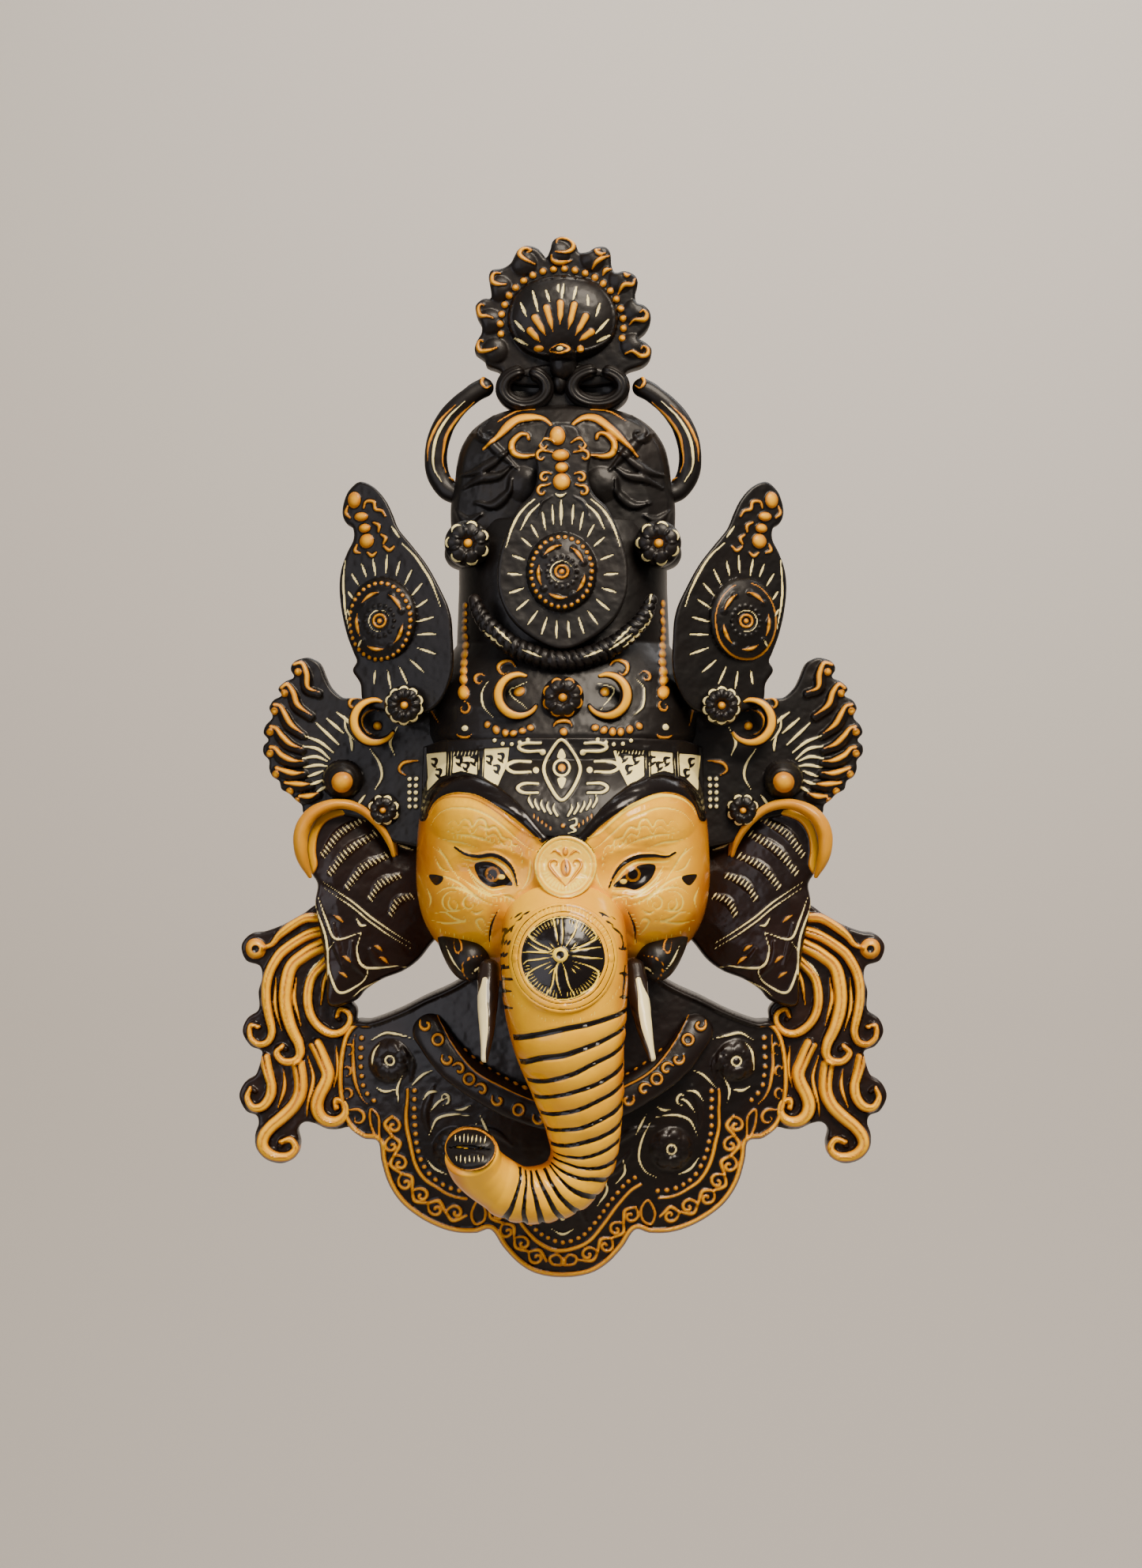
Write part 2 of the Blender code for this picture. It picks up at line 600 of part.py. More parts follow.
def gathered(name, parts):
    """A collection of helper solids that only the Boolean modifiers read."""
    group = bpy.data.collections.new(name)
    bpy.context.scene.collection.children.link(group)
    for part in parts:
        part.hide_render = True
        part.display_type = "WIRE"
        group.objects.link(part)
    return group


def resin():
    material = bpy.data.materials.new("dark_resin")
    material.use_nodes = True
    shader = material.node_tree.nodes["Principled BSDF"]
    shader.inputs["Base Color"].default_value = RESIN_COLOUR
    shader.inputs["Roughness"].default_value = RESIN_ROUGHNESS
    shader.inputs["Metallic"].default_value = 0.0
    return material


def main():
    for old in list(bpy.data.objects):
        bpy.data.objects.remove(old)
    mask = pillow("ganesha_mask", both_halves(FACE_HALF), FACE_CENTRE, FACE_PROFILE)
    bpy.context.scene.collection.objects.link(mask)
    mask.data.materials.append(resin())
    parts = [*head(), *collar(), *flames(), *ears(), *fans(), *crown(), *leaves(), *top()]
    for label, operation, group in (
        ("carving", "UNION", gathered("carving", parts)),
        ("cuts", "DIFFERENCE", gathered("cuts", [wall_cut(), face_hollow(), crown_hollow(), chest_hollow(), nail_hole()])),
    ):
        joined = mask.modifiers.new(label, "BOOLEAN")
        joined.operation = operation
        joined.operand_type = "COLLECTION"
        joined.collection = group
        joined.solver = "EXACT"
    mask.data.shade_smooth()
    mask.data.set_sharp_from_angle(angle=math.radians(40))


main()
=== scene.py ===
"""A painted and lacquered Ganesha wall mask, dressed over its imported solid.

Every carved area is a Relief: a fine sheet of points over an outline, with a base depth,
carving that lifts or cuts it, and paint laid on the carving. Sizes are in millimetres of
the mask's own frame: x to the viewer's right, z up, and depth out from the wall.
"""

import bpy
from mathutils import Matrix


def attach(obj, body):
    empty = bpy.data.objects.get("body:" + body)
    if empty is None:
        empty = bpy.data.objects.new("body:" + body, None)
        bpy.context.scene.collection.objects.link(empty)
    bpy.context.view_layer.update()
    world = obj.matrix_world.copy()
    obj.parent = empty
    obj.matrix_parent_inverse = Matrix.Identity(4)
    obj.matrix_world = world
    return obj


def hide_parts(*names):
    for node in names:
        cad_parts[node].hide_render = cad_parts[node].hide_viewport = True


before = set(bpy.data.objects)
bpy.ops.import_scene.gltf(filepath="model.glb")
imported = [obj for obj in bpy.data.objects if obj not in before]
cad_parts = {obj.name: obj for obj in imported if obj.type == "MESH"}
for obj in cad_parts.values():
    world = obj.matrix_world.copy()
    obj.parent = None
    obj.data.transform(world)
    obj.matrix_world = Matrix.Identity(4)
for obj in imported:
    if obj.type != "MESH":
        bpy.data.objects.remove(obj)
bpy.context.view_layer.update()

import logging
import math
from collections.abc import Callable, Sequence
from dataclasses import dataclass
from enum import Enum

import bpy
import numpy as np
from mathutils import Vector
from mathutils.geometry import delaunay_2d_cdt

LOG = logging.getLogger("ganesha_mask")
NODE = "ganesha_mask"
MM = 0.001
Point = tuple[float, float]
Path = Sequence[Point]
Depth = Callable[[np.ndarray, np.ndarray], np.ndarray]

# Every piece's point spacing is multiplied by this, which keeps the whole mask under a million triangles.
GRID_SCALE = 1.24
# How many distances are measured at once, which bounds the memory that they take.
PAIRS_AT_ONCE = 1_500_000
# The gap between an outline's own points, and how far the sheet's rim points are drawn on to it.
LOOP_GAP = 0.8
RIM_PULL = 0.97
# How deep a fine line is scratched, and the share of its width left at its start and end.
SCRATCH_DEPTH = 0.22
SCRATCH_TAPER = (0.55, 0.45)
# How much paler a stroke's paint is along its worn edges.
WORN_PAINT = 0.28
# The height and wavelength of the casting's two grains of roughness.
COARSE_GRAIN = (0.14, 4.0)
FINE_GRAIN = (0.07, 1.6)
# The least depth of a sheet's front, and the least thickness of its edge and of its wall.
LEAST_DEPTH = 0.8
LEAST_EDGE = 0.6
LEAST_WALL = 1.2
# How far the unseen side of a rod is moved from every stroke, so that none is carved there.
OUT_OF_REACH = 1000.0


class Paint(Enum):
    """The paints a finish can show, as the value each one leaves in the paint attribute."""

    BARE = (0.0, 0.0, 0.0)
    OCHRE = (1.0, 0.0, 0.0)
    CREAM = (0.0, 1.0, 0.0)
    BLACK = (0.0, 0.0, 1.0)


# Curves


def curve(points: Path, spacing: float = 0.6) -> np.ndarray:
    """Runs a smooth curve through the points.

    Args:
        points: Two or more (x, z) points. A curve whose last point is its first is closed.
        spacing: The distance between the curve's own points.

    Returns:
        The curve's points, as an (N, 2) array.
    """
    given = np.asarray(points, float)
    if len(given) < 3:
        ends = np.vstack([given[0], given, given[-1]])
    elif np.allclose(given[0], given[-1]):
        ends = np.vstack([given[-2], given, given[1]])
    else:
        ends = np.vstack([2 * given[0] - given[1], given, 2 * given[-1] - given[-2]])
    spans = []
    for a, b, c, d in zip(ends, ends[1:], ends[2:], ends[3:]):
        count = max(2, int(np.linalg.norm(c - b) / spacing) + 1)
        t = np.linspace(0.0, 1.0, count, endpoint=False)[:, None]
        # The Catmull-Rom cubic: it passes through b and c with slopes set by a and d.
        spans.append(
            0.5 * (
                2 * b + (c - a) * t + (2 * a - 5 * b + 4 * c - d) * t**2 + (3 * b - a - 3 * c + d) * t**3
            )
        )
    return np.vstack([*spans, given[-1:]])


def spaced(path: np.ndarray, gap: float) -> np.ndarray:
    """Puts points at equal gaps along a path.

    Args:
        path: The path's points.
        gap: The wanted gap.

    Returns:
        The spaced points, the ends included.
    """
    steps = np.linalg.norm(np.diff(path[:, :3], axis=0), axis=1)
    along = np.concatenate([[0.0], np.cumsum(steps)])
    places = np.linspace(0.0, along[-1], max(2, round(along[-1] / gap) + 1))
    return np.column_stack([np.interp(places, along, path[:, i]) for i in range(path.shape[1])])


def spiral(points: Path, centre: Point, turns: float, end: float = 0.8) -> list[Point]:
    """Runs through the points, then winds in round a centre.

    Args:
        points: The stroke before the curl.
        centre: What it curls round.
        turns: How many turns it makes, positive where they run counterclockwise.
        end: The radius where it ends.

    Returns:
        The whole stroke's points.
    """
    last = points[-1]
    radius = math.hypot(last[0] - centre[0], last[1] - centre[1])
    start = math.atan2(last[1] - centre[1], last[0] - centre[0])
    count = max(4, int(abs(turns) * 10))
    path = list(points)
    for i in range(1, count + 1):
        t = i / count
        r = radius + (end - radius) * t
        angle = start + 2 * math.pi * turns * t
        path.append((centre[0] + r * math.cos(angle), centre[1] + r * math.sin(angle)))
    return path


def oval(centre: Point, rx: float, rz: float, start: float = 0.0, sweep: float = 360.0) -> list[Point]:
    """Draws an arc of an ellipse.

    Args:
        centre: The ellipse's centre.
        rx: Its half width.
        rz: Its half height.
        start: Where the arc starts, in degrees from the right.
        sweep: How far it runs counterclockwise, in degrees.

    Returns:
        The arc's points.
    """
    count = max(6, int(abs(sweep) / 360 * (12 + 3 * max(rx, rz)))) + 1
    angles = np.radians(np.linspace(start, start + sweep, count))
    return [(centre[0] + rx * math.cos(a), centre[1] + rz * math.sin(a)) for a in angles]


def sided(points: Path, side: float) -> list[Point]:
    """Puts points on one side of the mask.

    Args:
        points: The points as drawn.
        side: 1 to leave them as drawn, or -1 to mirror them to the other side.

    Returns:
        The points on that side.
    """
    return [(side * x, z) for x, z in points]


def flipped(points: Path) -> list[Point]:
    """Mirrors points to the mask's other side.

    Args:
        points: (x, z) points.

    Returns:
        The mirrored points, in the same order.
    """
    return [(-x, z) for x, z in points]


def whole(half: Path) -> list[Point]:
    """Completes an outline from its left half.

    Args:
        half: Points from the centre line round the left side to the centre line.

    Returns:
        The whole outline.
    """
    return [*half, *flipped(half)[-2:0:-1]]


def nearest(px: np.ndarray, pz: np.ndarray, path: np.ndarray) -> tuple[np.ndarray, ...]:
    """Finds how far points lie from a path.

    Args:
        px: The points' x.
        pz: The points' z.
        path: The path's points.

    Returns:
        The distance of each point, how far along the path its nearest place is, and that
        place's x and z.
    """
    a, b = path[:-1], path[1:]
    span = b - a
    lengths = np.maximum(np.hypot(span[:, 0], span[:, 1]), 1e-9)
    starts = np.concatenate([[0.0], np.cumsum(lengths)[:-1]])
    out = [np.empty(len(px)) for _ in range(4)]
    chunk = max(1, PAIRS_AT_ONCE // len(a))
    for at in range(0, len(px), chunk):
        x, z = px[at : at + chunk, None], pz[at : at + chunk, None]
        dx, dz = x - a[:, 0], z - a[:, 1]
        t = np.clip((dx * span[:, 0] + dz * span[:, 1]) / lengths**2, 0.0, 1.0)
        nx, nz = a[:, 0] + span[:, 0] * t, a[:, 1] + span[:, 1] * t
        gap = (x - nx) ** 2 + (z - nz) ** 2
        best = gap.argmin(axis=1)
        row = np.arange(len(best))
        out[0][at : at + chunk] = np.sqrt(gap[row, best])
        out[1][at : at + chunk] = starts[best] + lengths[best] * t[row, best]
        out[2][at : at + chunk] = nx[row, best]
        out[3][at : at + chunk] = nz[row, best]
    return tuple(out)


def inside(px: np.ndarray, pz: np.ndarray, loop: np.ndarray) -> np.ndarray:
    """Tests which points lie inside a closed loop.

    Args:
        px: The points' x.
        pz: The points' z.
        loop: The loop's points.

    Returns:
        True for each point that is inside.
    """
    result = np.zeros(len(px), bool)
    ends = np.roll(loop, -1, axis=0)
    for (x0, z0), (x1, z1) in zip(loop, ends):
        if z0 == z1:
            continue
        spans = (pz > min(z0, z1)) & (pz <= max(z0, z1))
        result ^= spans & (px < x0 + (pz - z0) * (x1 - x0) / (z1 - z0))
    return result


def uneven(x: np.ndarray, z: np.ndarray, seed: int, size: float) -> np.ndarray:
    """Gives a smooth, low, hand-made unevenness.

    Args:
        x: Points' x.
        z: Points' z.
        seed: Which unevenness.
        size: The distance between its hills.

    Returns:
        Values between -1 and 1: random heights on a square lattice, eased between its corners.
    """
    heights = np.random.default_rng(seed).uniform(-1.0, 1.0, (256, 256))
    u, v = x / size + 1000.0, z / size + 1000.0
    i, j = np.floor(u).astype(int), np.floor(v).astype(int)
    s, t = smooth(0.0, 1.0, u - i), smooth(0.0, 1.0, v - j)
    near = heights[i % 256, j % 256] * (1 - s) + heights[(i + 1) % 256, j % 256] * s
    far = heights[i % 256, (j + 1) % 256] * (1 - s) + heights[(i + 1) % 256, (j + 1) % 256] * s
    return near * (1 - t) + far * t


def smooth(low: float, high: float, value: np.ndarray) -> np.ndarray:
    """Eases from 0 to 1 between two values.

    Args:
        low: Where it is 0.
        high: Where it is 1.
        value: What is measured.

    Returns:
        The eased share.
    """
    t = np.clip((value - low) / (high - low), 0.0, 1.0)
    return t * t * (3 - 2 * t)


# Finishes


def linear(hex_colour: str) -> tuple[float, float, float, float]:
    """Turns an sRGB hex colour into the linear one that a shader takes.

    Args:
        hex_colour: Six hex digits after a hash.

    Returns:
        Red, green, blue and alpha.
    """
    parts = [int(hex_colour[i : i + 2], 16) / 255 for i in (1, 3, 5)]
    return (*[c / 12.92 if c <= 0.04045 else ((c + 0.055) / 1.055) ** 2.4 for c in parts], 1.0)


@dataclass(frozen=True)
class Finish:
    """A stained resin with the paints over it, and painted shade that deepens its tone."""

    name: str
    base: str
    stain_and_shade: str
    ochre: str = "#f2b000"
    ochre_deep: str = "#b87410"
    cream: str = "#f7e7a0"
    black: str = "#0d0908"
    roughness: float = 0.38
    paint_roughness: float = 0.42
    coat: float = 0.25
    grain: float = 0.25
    sheen: float = 0.28

    def material(self) -> bpy.types.Material:
        """Builds the finish once, and finds it again after that.

        Returns:
            The material.
        """
        known = bpy.data.materials.get(self.name)
        if known is not None:
            return known
        material = bpy.data.materials.new(self.name)
        material.use_nodes = True
        nodes, links = material.node_tree.nodes, material.node_tree.links
        shader = nodes["Principled BSDF"]

        def add(kind: str, values: dict | None = None, settings: dict | None = None) -> bpy.types.Node:
            """Adds a node.

            Args:
                kind: Its type.
                values: What its input sockets hold, or the socket each is linked from.
                settings: Its own settings.

            Returns:
                The node.
            """
            node = nodes.new(kind)
            for key, value in (settings or {}).items():
                setattr(node, key, value)
            for key, value in (values or {}).items():
                if isinstance(value, bpy.types.NodeSocket):
                    links.new(value, node.inputs[key])
                else:
                    node.inputs[key].default_value = value
            return node

        def mixed(share: bpy.types.NodeSocket, first: object, second: object) -> bpy.types.NodeSocket:
            """Mixes two colours.

            Args:
                share: How much of the second shows.
                first: A colour or a socket.
                second: A colour or a socket.

            Returns:
                The mixed colour's socket.
            """
            return add("ShaderNodeMix", {0: share, 6: first, 7: second}, {"data_type": "RGBA"}).outputs[2]

        place = add("ShaderNodeTexCoord").outputs["Object"]
        cloud = add("ShaderNodeTexNoise", {"Vector": place, "Scale": 38.0, "Detail": 5.0}).outputs["Fac"]
        speck = add("ShaderNodeTexNoise", {"Vector": place, "Scale": 420.0, "Detail": 3.0}).outputs["Fac"]
        paint = add("ShaderNodeAttribute", None, {"attribute_name": "paint"}).outputs["Vector"]
        split = add("ShaderNodeSeparateXYZ", {"Vector": paint})
        ragged = add("ShaderNodeMath", {0: speck, 1: 0.5}, {"operation": "SUBTRACT"}).outputs[0]
        ragged = add("ShaderNodeMath", {0: ragged, 1: self.grain}, {"operation": "MULTIPLY"}).outputs[0]
        # Painted shade: the shade attribute adds to the random stain and pulls the colour to the darker
        # tone.
        painted_shade = add("ShaderNodeAttribute", None, {"attribute_name": "shade"}).outputs["Fac"]
        stain_and_shade = add(
            "ShaderNodeMapRange", {"Value": cloud, "From Min": 0.42, "From Max": 0.8, "To Max": 0.6},
        ).outputs[0]
        stain_and_shade = add(
            "ShaderNodeMath", {0: stain_and_shade, 1: painted_shade}, {"operation": "ADD", "use_clamp": True},
        ).outputs[0]
        colour = mixed(stain_and_shade, linear(self.base), linear(self.stain_and_shade))
        worn = add(
            "ShaderNodeMapRange", {"Value": cloud, "From Min": 0.45, "From Max": 0.75, "To Max": 0.5},
        ).outputs[0]
        thin = add(
            "ShaderNodeMapRange", {"Value": split.outputs["X"], "From Min": 0.98, "From Max": 0.78},
        ).outputs[0]
        worn = add("ShaderNodeMath", {0: worn, 1: thin}, {"operation": "ADD", "use_clamp": True}).outputs[0]
        ochre = mixed(worn, linear(self.ochre), linear(self.ochre_deep))
        covers = []
        for axis, tint in (("X", ochre), ("Y", linear(self.cream)), ("Z", linear(self.black))):
            level = add(
                "ShaderNodeMath", {0: split.outputs[axis], 1: ragged}, {"operation": "ADD"},
            ).outputs[0]
            cover = add(
                "ShaderNodeMapRange", {"Value": level, "From Min": 0.3, "From Max": 0.58},
                {"interpolation_type": "SMOOTHSTEP"},
            ).outputs[0]
            colour = mixed(cover, colour, tint)
            covers.append(cover)
        painted = add("ShaderNodeMath", {0: covers[0], 1: covers[1]}, {"operation": "MAXIMUM"}).outputs[0]
        rough = add(
            "ShaderNodeMapRange",
            {"Value": painted, "To Min": self.roughness, "To Max": self.paint_roughness},
        ).outputs[0]
        bump = add("ShaderNodeBump", {"Strength": 0.12, "Distance": 0.0006, "Height": speck})
        links.new(colour, shader.inputs["Base Color"])
        links.new(rough, shader.inputs["Roughness"])
        links.new(bump.outputs["Normal"], shader.inputs["Normal"])
        shader.inputs["Coat Weight"].default_value = self.coat
        shader.inputs["Coat Roughness"].default_value = 0.12
        shader.inputs["Specular IOR Level"].default_value = self.sheen
        return material


CROWN_BLACK = Finish("crown_black", "#090605", "#170d08", roughness=0.46, coat=0.08)
COLLAR_BROWN = Finish("collar_brown", "#0f0a09", "#241510", coat=0.12)
EAR_BROWN = Finish("ear_brown", "#170b07", "#2b1610", roughness=0.34, coat=0.15)
FLAME_BROWN = Finish("flame_brown", "#160b06", "#30170b", ochre="#ffbe00", ochre_deep="#c47c06", coat=0.2)
FACE_YELLOW = Finish(
    "face_yellow", "#ffbe00", "#c67400", ochre="#f6a800", cream="#ffdc52", black="#0f0806", roughness=0.24,
    paint_roughness=0.26, coat=0.22, grain=0.1,
)
TUSK_CREAM = Finish(
    "tusk_cream", "#1d130e", "#2b1b12", cream="#f3e4ab", roughness=0.3, coat=0.5, grain=0.08,
)


# Meshes


def mesh_piece(
    name: str, points: np.ndarray, faces: list, paint: np.ndarray, shade: np.ndarray, finish: Finish,
) -> bpy.types.Object:
    """Makes a mesh object that stands for the mask's solid.

    Args:
        name: The piece's name.
        points: Its points, in metres.
        faces: Its faces, as tuples of point numbers.
        paint: The paint value of each point.
        shade: The painted shade of each point, which pulls its colour to the darker tone.
        finish: What it is covered with.

    Returns:
        The object.
    """
    mesh = bpy.data.meshes.new(name)
    mesh.from_pydata(points.tolist(), [], faces)
    attribute = mesh.attributes.new("paint", "FLOAT_VECTOR", "POINT")
    attribute.data.foreach_set("vector", np.ascontiguousarray(paint, np.float32).ravel())
    attribute = mesh.attributes.new("shade", "FLOAT", "POINT")
    attribute.data.foreach_set("value", np.ascontiguousarray(shade, np.float32))
    mesh.shade_smooth()
    mesh.set_sharp_from_angle(angle=math.radians(62))
    mesh.materials.append(finish.material())
    piece = bpy.data.objects.new(name, mesh)
    bpy.context.scene.collection.objects.link(piece)
    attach(piece, "root")
    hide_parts(NODE)
    return piece


class Surface:
    """Points that can be carved and painted. The carving reads their drawn x and z."""

    def __init__(self, x: np.ndarray, z: np.ndarray, step: float) -> None:
        """Takes the points.

        Args:
            x: Their drawn x.
            z: Their drawn z.
            step: The distance between neighbouring points, which sets how soft paint edges are.
        """
        self.x, self.z, self.step = x, z, step
        self.lift = np.zeros(len(x))
        self.paint = np.zeros((len(x), 3))
        # The painted shade of each point, from 0 up.
        self.shade = np.zeros(len(x))

    def near(self, path: np.ndarray, reach: float) -> np.ndarray:
        """Finds the points in a path's neighbourhood.

        Args:
            path: The path.
            reach: How far from it they may lie.

        Returns:
            Their numbers.
        """
        low, high = path.min(axis=0) - reach, path.max(axis=0) + reach
        return np.flatnonzero(
            (self.x > low[0]) & (self.x < high[0]) & (self.z > low[1]) & (self.z < high[1])
        )

    def colour(
        self, which: np.ndarray, cover: np.ndarray, paint: Paint | None, thin: float | np.ndarray = 0.0,
    ) -> None:
        """Lays paint on points.

        Args:
            which: The points' numbers.
            cover: How far each one is covered.
            paint: The paint, or None to leave them as they are.
            thin: How thinly it lies on each one, from 0 to 1, which lets its deep tone through.
        """
        if paint is not None:
            share = cover[:, None]
            tone = 1 - WORN_PAINT * np.clip(np.broadcast_to(thin, cover.shape), 0.0, 1.0)[:, None]
            self.paint[which] = self.paint[which] * (1 - share) + np.array(paint.value) * tone * share

    def paint_shade(self, centre: Point, rx: float, rz: float, amount: float) -> None:
        """Paints shade round a place, pulling the colour to the darker tone.

        Args:
            centre: The place.
            rx: Its half width.
            rz: Its half height.
            amount: How dark it gets in the middle.
        """
        radius = np.hypot((self.x - centre[0]) / rx, (self.z - centre[1]) / rz)
        self.shade += amount * (1 - smooth(0.2, 1.0, radius))

    def edge(self, inner: np.ndarray) -> np.ndarray:
        """Softens a paint's edge over one step.

        Args:
            inner: How far inside the painted area each point lies.

        Returns:
            The cover of each point.
        """
        return np.clip(0.5 + inner / (1.3 * self.step), 0.0, 1.0)

    def ridge(
        self, points: Path, width: float, height: float, paint: Paint | None = None,
        taper: tuple[float, float] = (0.35, 0.35), share: float = 0.9, flat: float = 0.5,
        straight: bool = False, strength: float = 1.0,
    ) -> None:
        """Raises a rounded stroke, or cuts one where the height is negative.

        Args:
            points: The stroke's points.
            width: Its width.
            height: How high it stands, or how deep it goes.
            paint: What it is painted with.
            taper: The share of its width left at its start and end.
            share: How much of its width is painted.
            flat: The power of its section, 0.5 for a half round and less for a flatter top.
            straight: True to run straight between the points.
            strength: How strongly the paint covers.
        """
        path = spaced(np.asarray(points, float), 1.0) if straight else curve(points)
        which = self.near(path, width)
        if not len(which):
            return
        gap, along, *_ = nearest(self.x[which], self.z[which], path)
        length = max(np.hypot(*np.diff(path, axis=0).T).sum(), 1e-6)
        t = along / length
        ends = taper[0] * (1 - smooth(0.0, 0.45, t)) + taper[1] * smooth(0.55, 1.0, t)
        ends = ends + smooth(0.0, 0.45, t) * (1 - smooth(0.55, 1.0, t))
        half = np.maximum(width / 2 * ends, 0.05)
        hit = gap < half * 1.25
        which, gap, half, ends = which[hit], gap[hit], half[hit], ends[hit]
        bulge = np.clip(1 - (gap / half) ** 2, 0.0, 1.0) ** flat * height * np.sqrt(ends)
        self.lift[which] += bulge
        self.colour(
            which, self.edge(half * share - gap) * strength, paint,
            (gap / half) ** 2 if height > 0 else 0.0,
        )

    def line(
        self, points: Path, width: float, paint: Paint = Paint.CREAM, straight: bool = False,
        strength: float = 1.0,
    ) -> None:
        """Scratches a fine painted line.

        Args:
            points: The line's points.
            width: Its width.
            paint: What fills it.
            straight: True to run straight between the points.
            strength: How strongly the paint covers.
        """
        self.ridge(
            points, width, -SCRATCH_DEPTH, paint, SCRATCH_TAPER, 1.0, straight=straight, strength=strength,
        )

    def draw(self, strokes: Sequence[Path], width: float) -> None:
        """Scratches several fine cream lines.

        Args:
            strokes: The lines' points.
            width: Their width.
        """
        for stroke in strokes:
            self.line(stroke, width)

    def raise_all(self, strokes: Sequence[Path], width: float, height: float) -> None:
        """Raises several rounded strokes in ochre.

        Args:
            strokes: The strokes' points.
            width: Their width.
            height: How high they stand.
        """
        for stroke in strokes:
            self.ridge(stroke, width, height, Paint.OCHRE)

    def dome(
        self, centre: Point, rx: float, rz: float, height: float, paint: Paint | None = None,
        turn: float = 0.0, flat: float = 0.5, strength: float = 1.0,
    ) -> None:
        """Raises a dome, or sinks a dish where the height is negative.

        Args:
            centre: Its centre.
            rx: Its half width.
            rz: Its half height.
            height: How high it stands.
            paint: What it is painted with.
            turn: How far it is turned counterclockwise, in degrees.
            flat: The power of its section.
            strength: How strongly the paint covers.
        """
        which = self.near(np.array([centre]), max(rx, rz) * 1.1 + self.step)
        if not len(which):
            return
        dx, dz = self.x[which] - centre[0], self.z[which] - centre[1]
        c, s = math.cos(math.radians(turn)), math.sin(math.radians(turn))
        u, v = (dx * c + dz * s) / rx, (dz * c - dx * s) / rz
        radius = np.hypot(u, v)
        hit = radius < 1.2
        which, radius = which[hit], radius[hit]
        self.lift[which] += np.clip(1 - radius**2, 0.0, 1.0) ** flat * height
        self.colour(
            which, self.edge((1 - radius) * min(rx, rz)) * strength, paint,
            radius**2 if height > 0 else 0.0,
        )

    def hatch(
        self, points: Path, gap: float, length: float, angle: float, width: float = 0.6,
        paint: Paint = Paint.CREAM, strength: float = 1.0,
    ) -> None:
        """Scratches a row of short strokes.

        Args:
            points: The row's path, through the strokes' middles.
            gap: The distance between strokes.
            length: Their length.
            angle: Their direction, in degrees counterclockwise from the right.
            width: Their width.
            paint: What fills them.
            strength: How strongly the paint covers.
        """
        step = np.array([math.cos(math.radians(angle)), math.sin(math.radians(angle))]) * length / 2
        for place in spaced(curve(points), gap):
            self.line([place - step, place + step], width, paint, True, strength)

    def rays(
        self, centre: Point, inner: float, outer: float, angles: Sequence[float], width: float,
        paint: Paint = Paint.CREAM,
    ) -> None:
        """Scratches strokes that point away from a centre.

        Args:
            centre: The centre.
            inner: How far from it the strokes start.
            outer: How far from it they end.
            angles: Their directions, in degrees counterclockwise from the right.
            width: Their width.
            paint: What fills them.
        """
        for angle in angles:
            c, s = math.cos(math.radians(angle)), math.sin(math.radians(angle))
            ends = [(centre[0] + r * c, centre[1] + r * s) for r in (inner, outer)]
            self.line(ends, width, paint, True)

    def flower(
        self, centre: Point, radius: float, petals: int, tip: Paint | None = None,
        heart: Paint | None = Paint.OCHRE,
    ) -> None:
        """Carves a flower: a ring of round petals about a bead.

        Args:
            centre: Its centre.
            radius: Its radius.
            petals: How many petals it has.
            tip: What the rims of its petals are painted with.
            heart: What its bead is painted with.
        """
        for i in range(petals):
            angle = 2 * math.pi * (i + 0.5) / petals
            c, s = math.cos(angle), math.sin(angle)
            place = (centre[0] + 0.66 * radius * c, centre[1] + 0.66 * radius * s)
            self.dome(place, radius * 0.36, radius * 0.36, radius * 0.16)
            if tip is not None:
                arc = oval(place, radius * 0.27, radius * 0.27, math.degrees(angle) - 55, 110)
                self.line(arc, 0.9, tip)
        self.dome(centre, radius * 0.3, radius * 0.3, -0.8)
        self.dome(centre, radius * 0.2, radius * 0.2, radius * 0.2, heart)

    def vine(self, points: Path, pitch: float, swing: float, width: float) -> None:
        """Carves an ochre vine: a stem that swings from side to side, with a curl in each bay.

        Args:
            points: The line that it swings about.
            pitch: The length of a bay.
            swing: How far the stem swings out.
            width: The stem's width.
        """
        nodes = spaced(curve(points), pitch)
        for i, (start, end) in enumerate(zip(nodes, nodes[1:])):
            step = end - start
            length = np.hypot(*step)
            side = 1.0 if i % 2 else -1.0
            across = np.array([-step[1], step[0]]) / length * side
            middle = (start + end) / 2
            stem = [
                start, start + step * 0.25 + across * swing * 0.8, middle + across * swing,
                end - across * swing * 0.1,
            ]
            self.ridge(stem, width, 1.1, Paint.OCHRE, (0.7, 0.7))
            heart = middle - across * swing * 0.25 - step * 0.02
            branch = start + step * 0.12
            self.ridge(
                spiral([start, branch - across * swing * 0.7], heart, 0.95 * side, 0.5), width * 0.85, 1.1,
                Paint.OCHRE, (0.7, 0.9),
            )

    def beads(
        self, points: Path | np.ndarray, radius: float, height: float, paint: Paint | None = None,
    ) -> None:
        """Raises a bead at each point.

        Args:
            points: The beads' centres.
            radius: Their radius.
            height: Their height.
            paint: What they are painted with.
        """
        for x, z in points:
            self.dome((float(x), float(z)), radius, radius, height, paint)

    def fill(
        self, loop: Path, paint: Paint, lift: float = 0.0, smooth_loop: bool = True, strength: float = 1.0,
    ) -> None:
        """Paints, and may raise, the inside of a loop.

        Args:
            loop: The loop's points.
            paint: What it is painted with.
            lift: How far the inside is raised.
            smooth_loop: True to round the loop's corners.
            strength: How strongly the paint covers.
        """
        closed = [*loop, loop[0]]
        path = curve(closed) if smooth_loop else np.asarray(closed, float)
        which = self.near(path, 1.0)
        if not len(which):
            return
        gap, *_ = nearest(self.x[which], self.z[which], path)
        inner = np.where(inside(self.x[which], self.z[which], path[:-1]), gap, -gap)
        self.colour(which, self.edge(inner) * strength, paint)
        if lift:
            self.lift[which] += lift * smooth(-0.3, 0.6, inner)


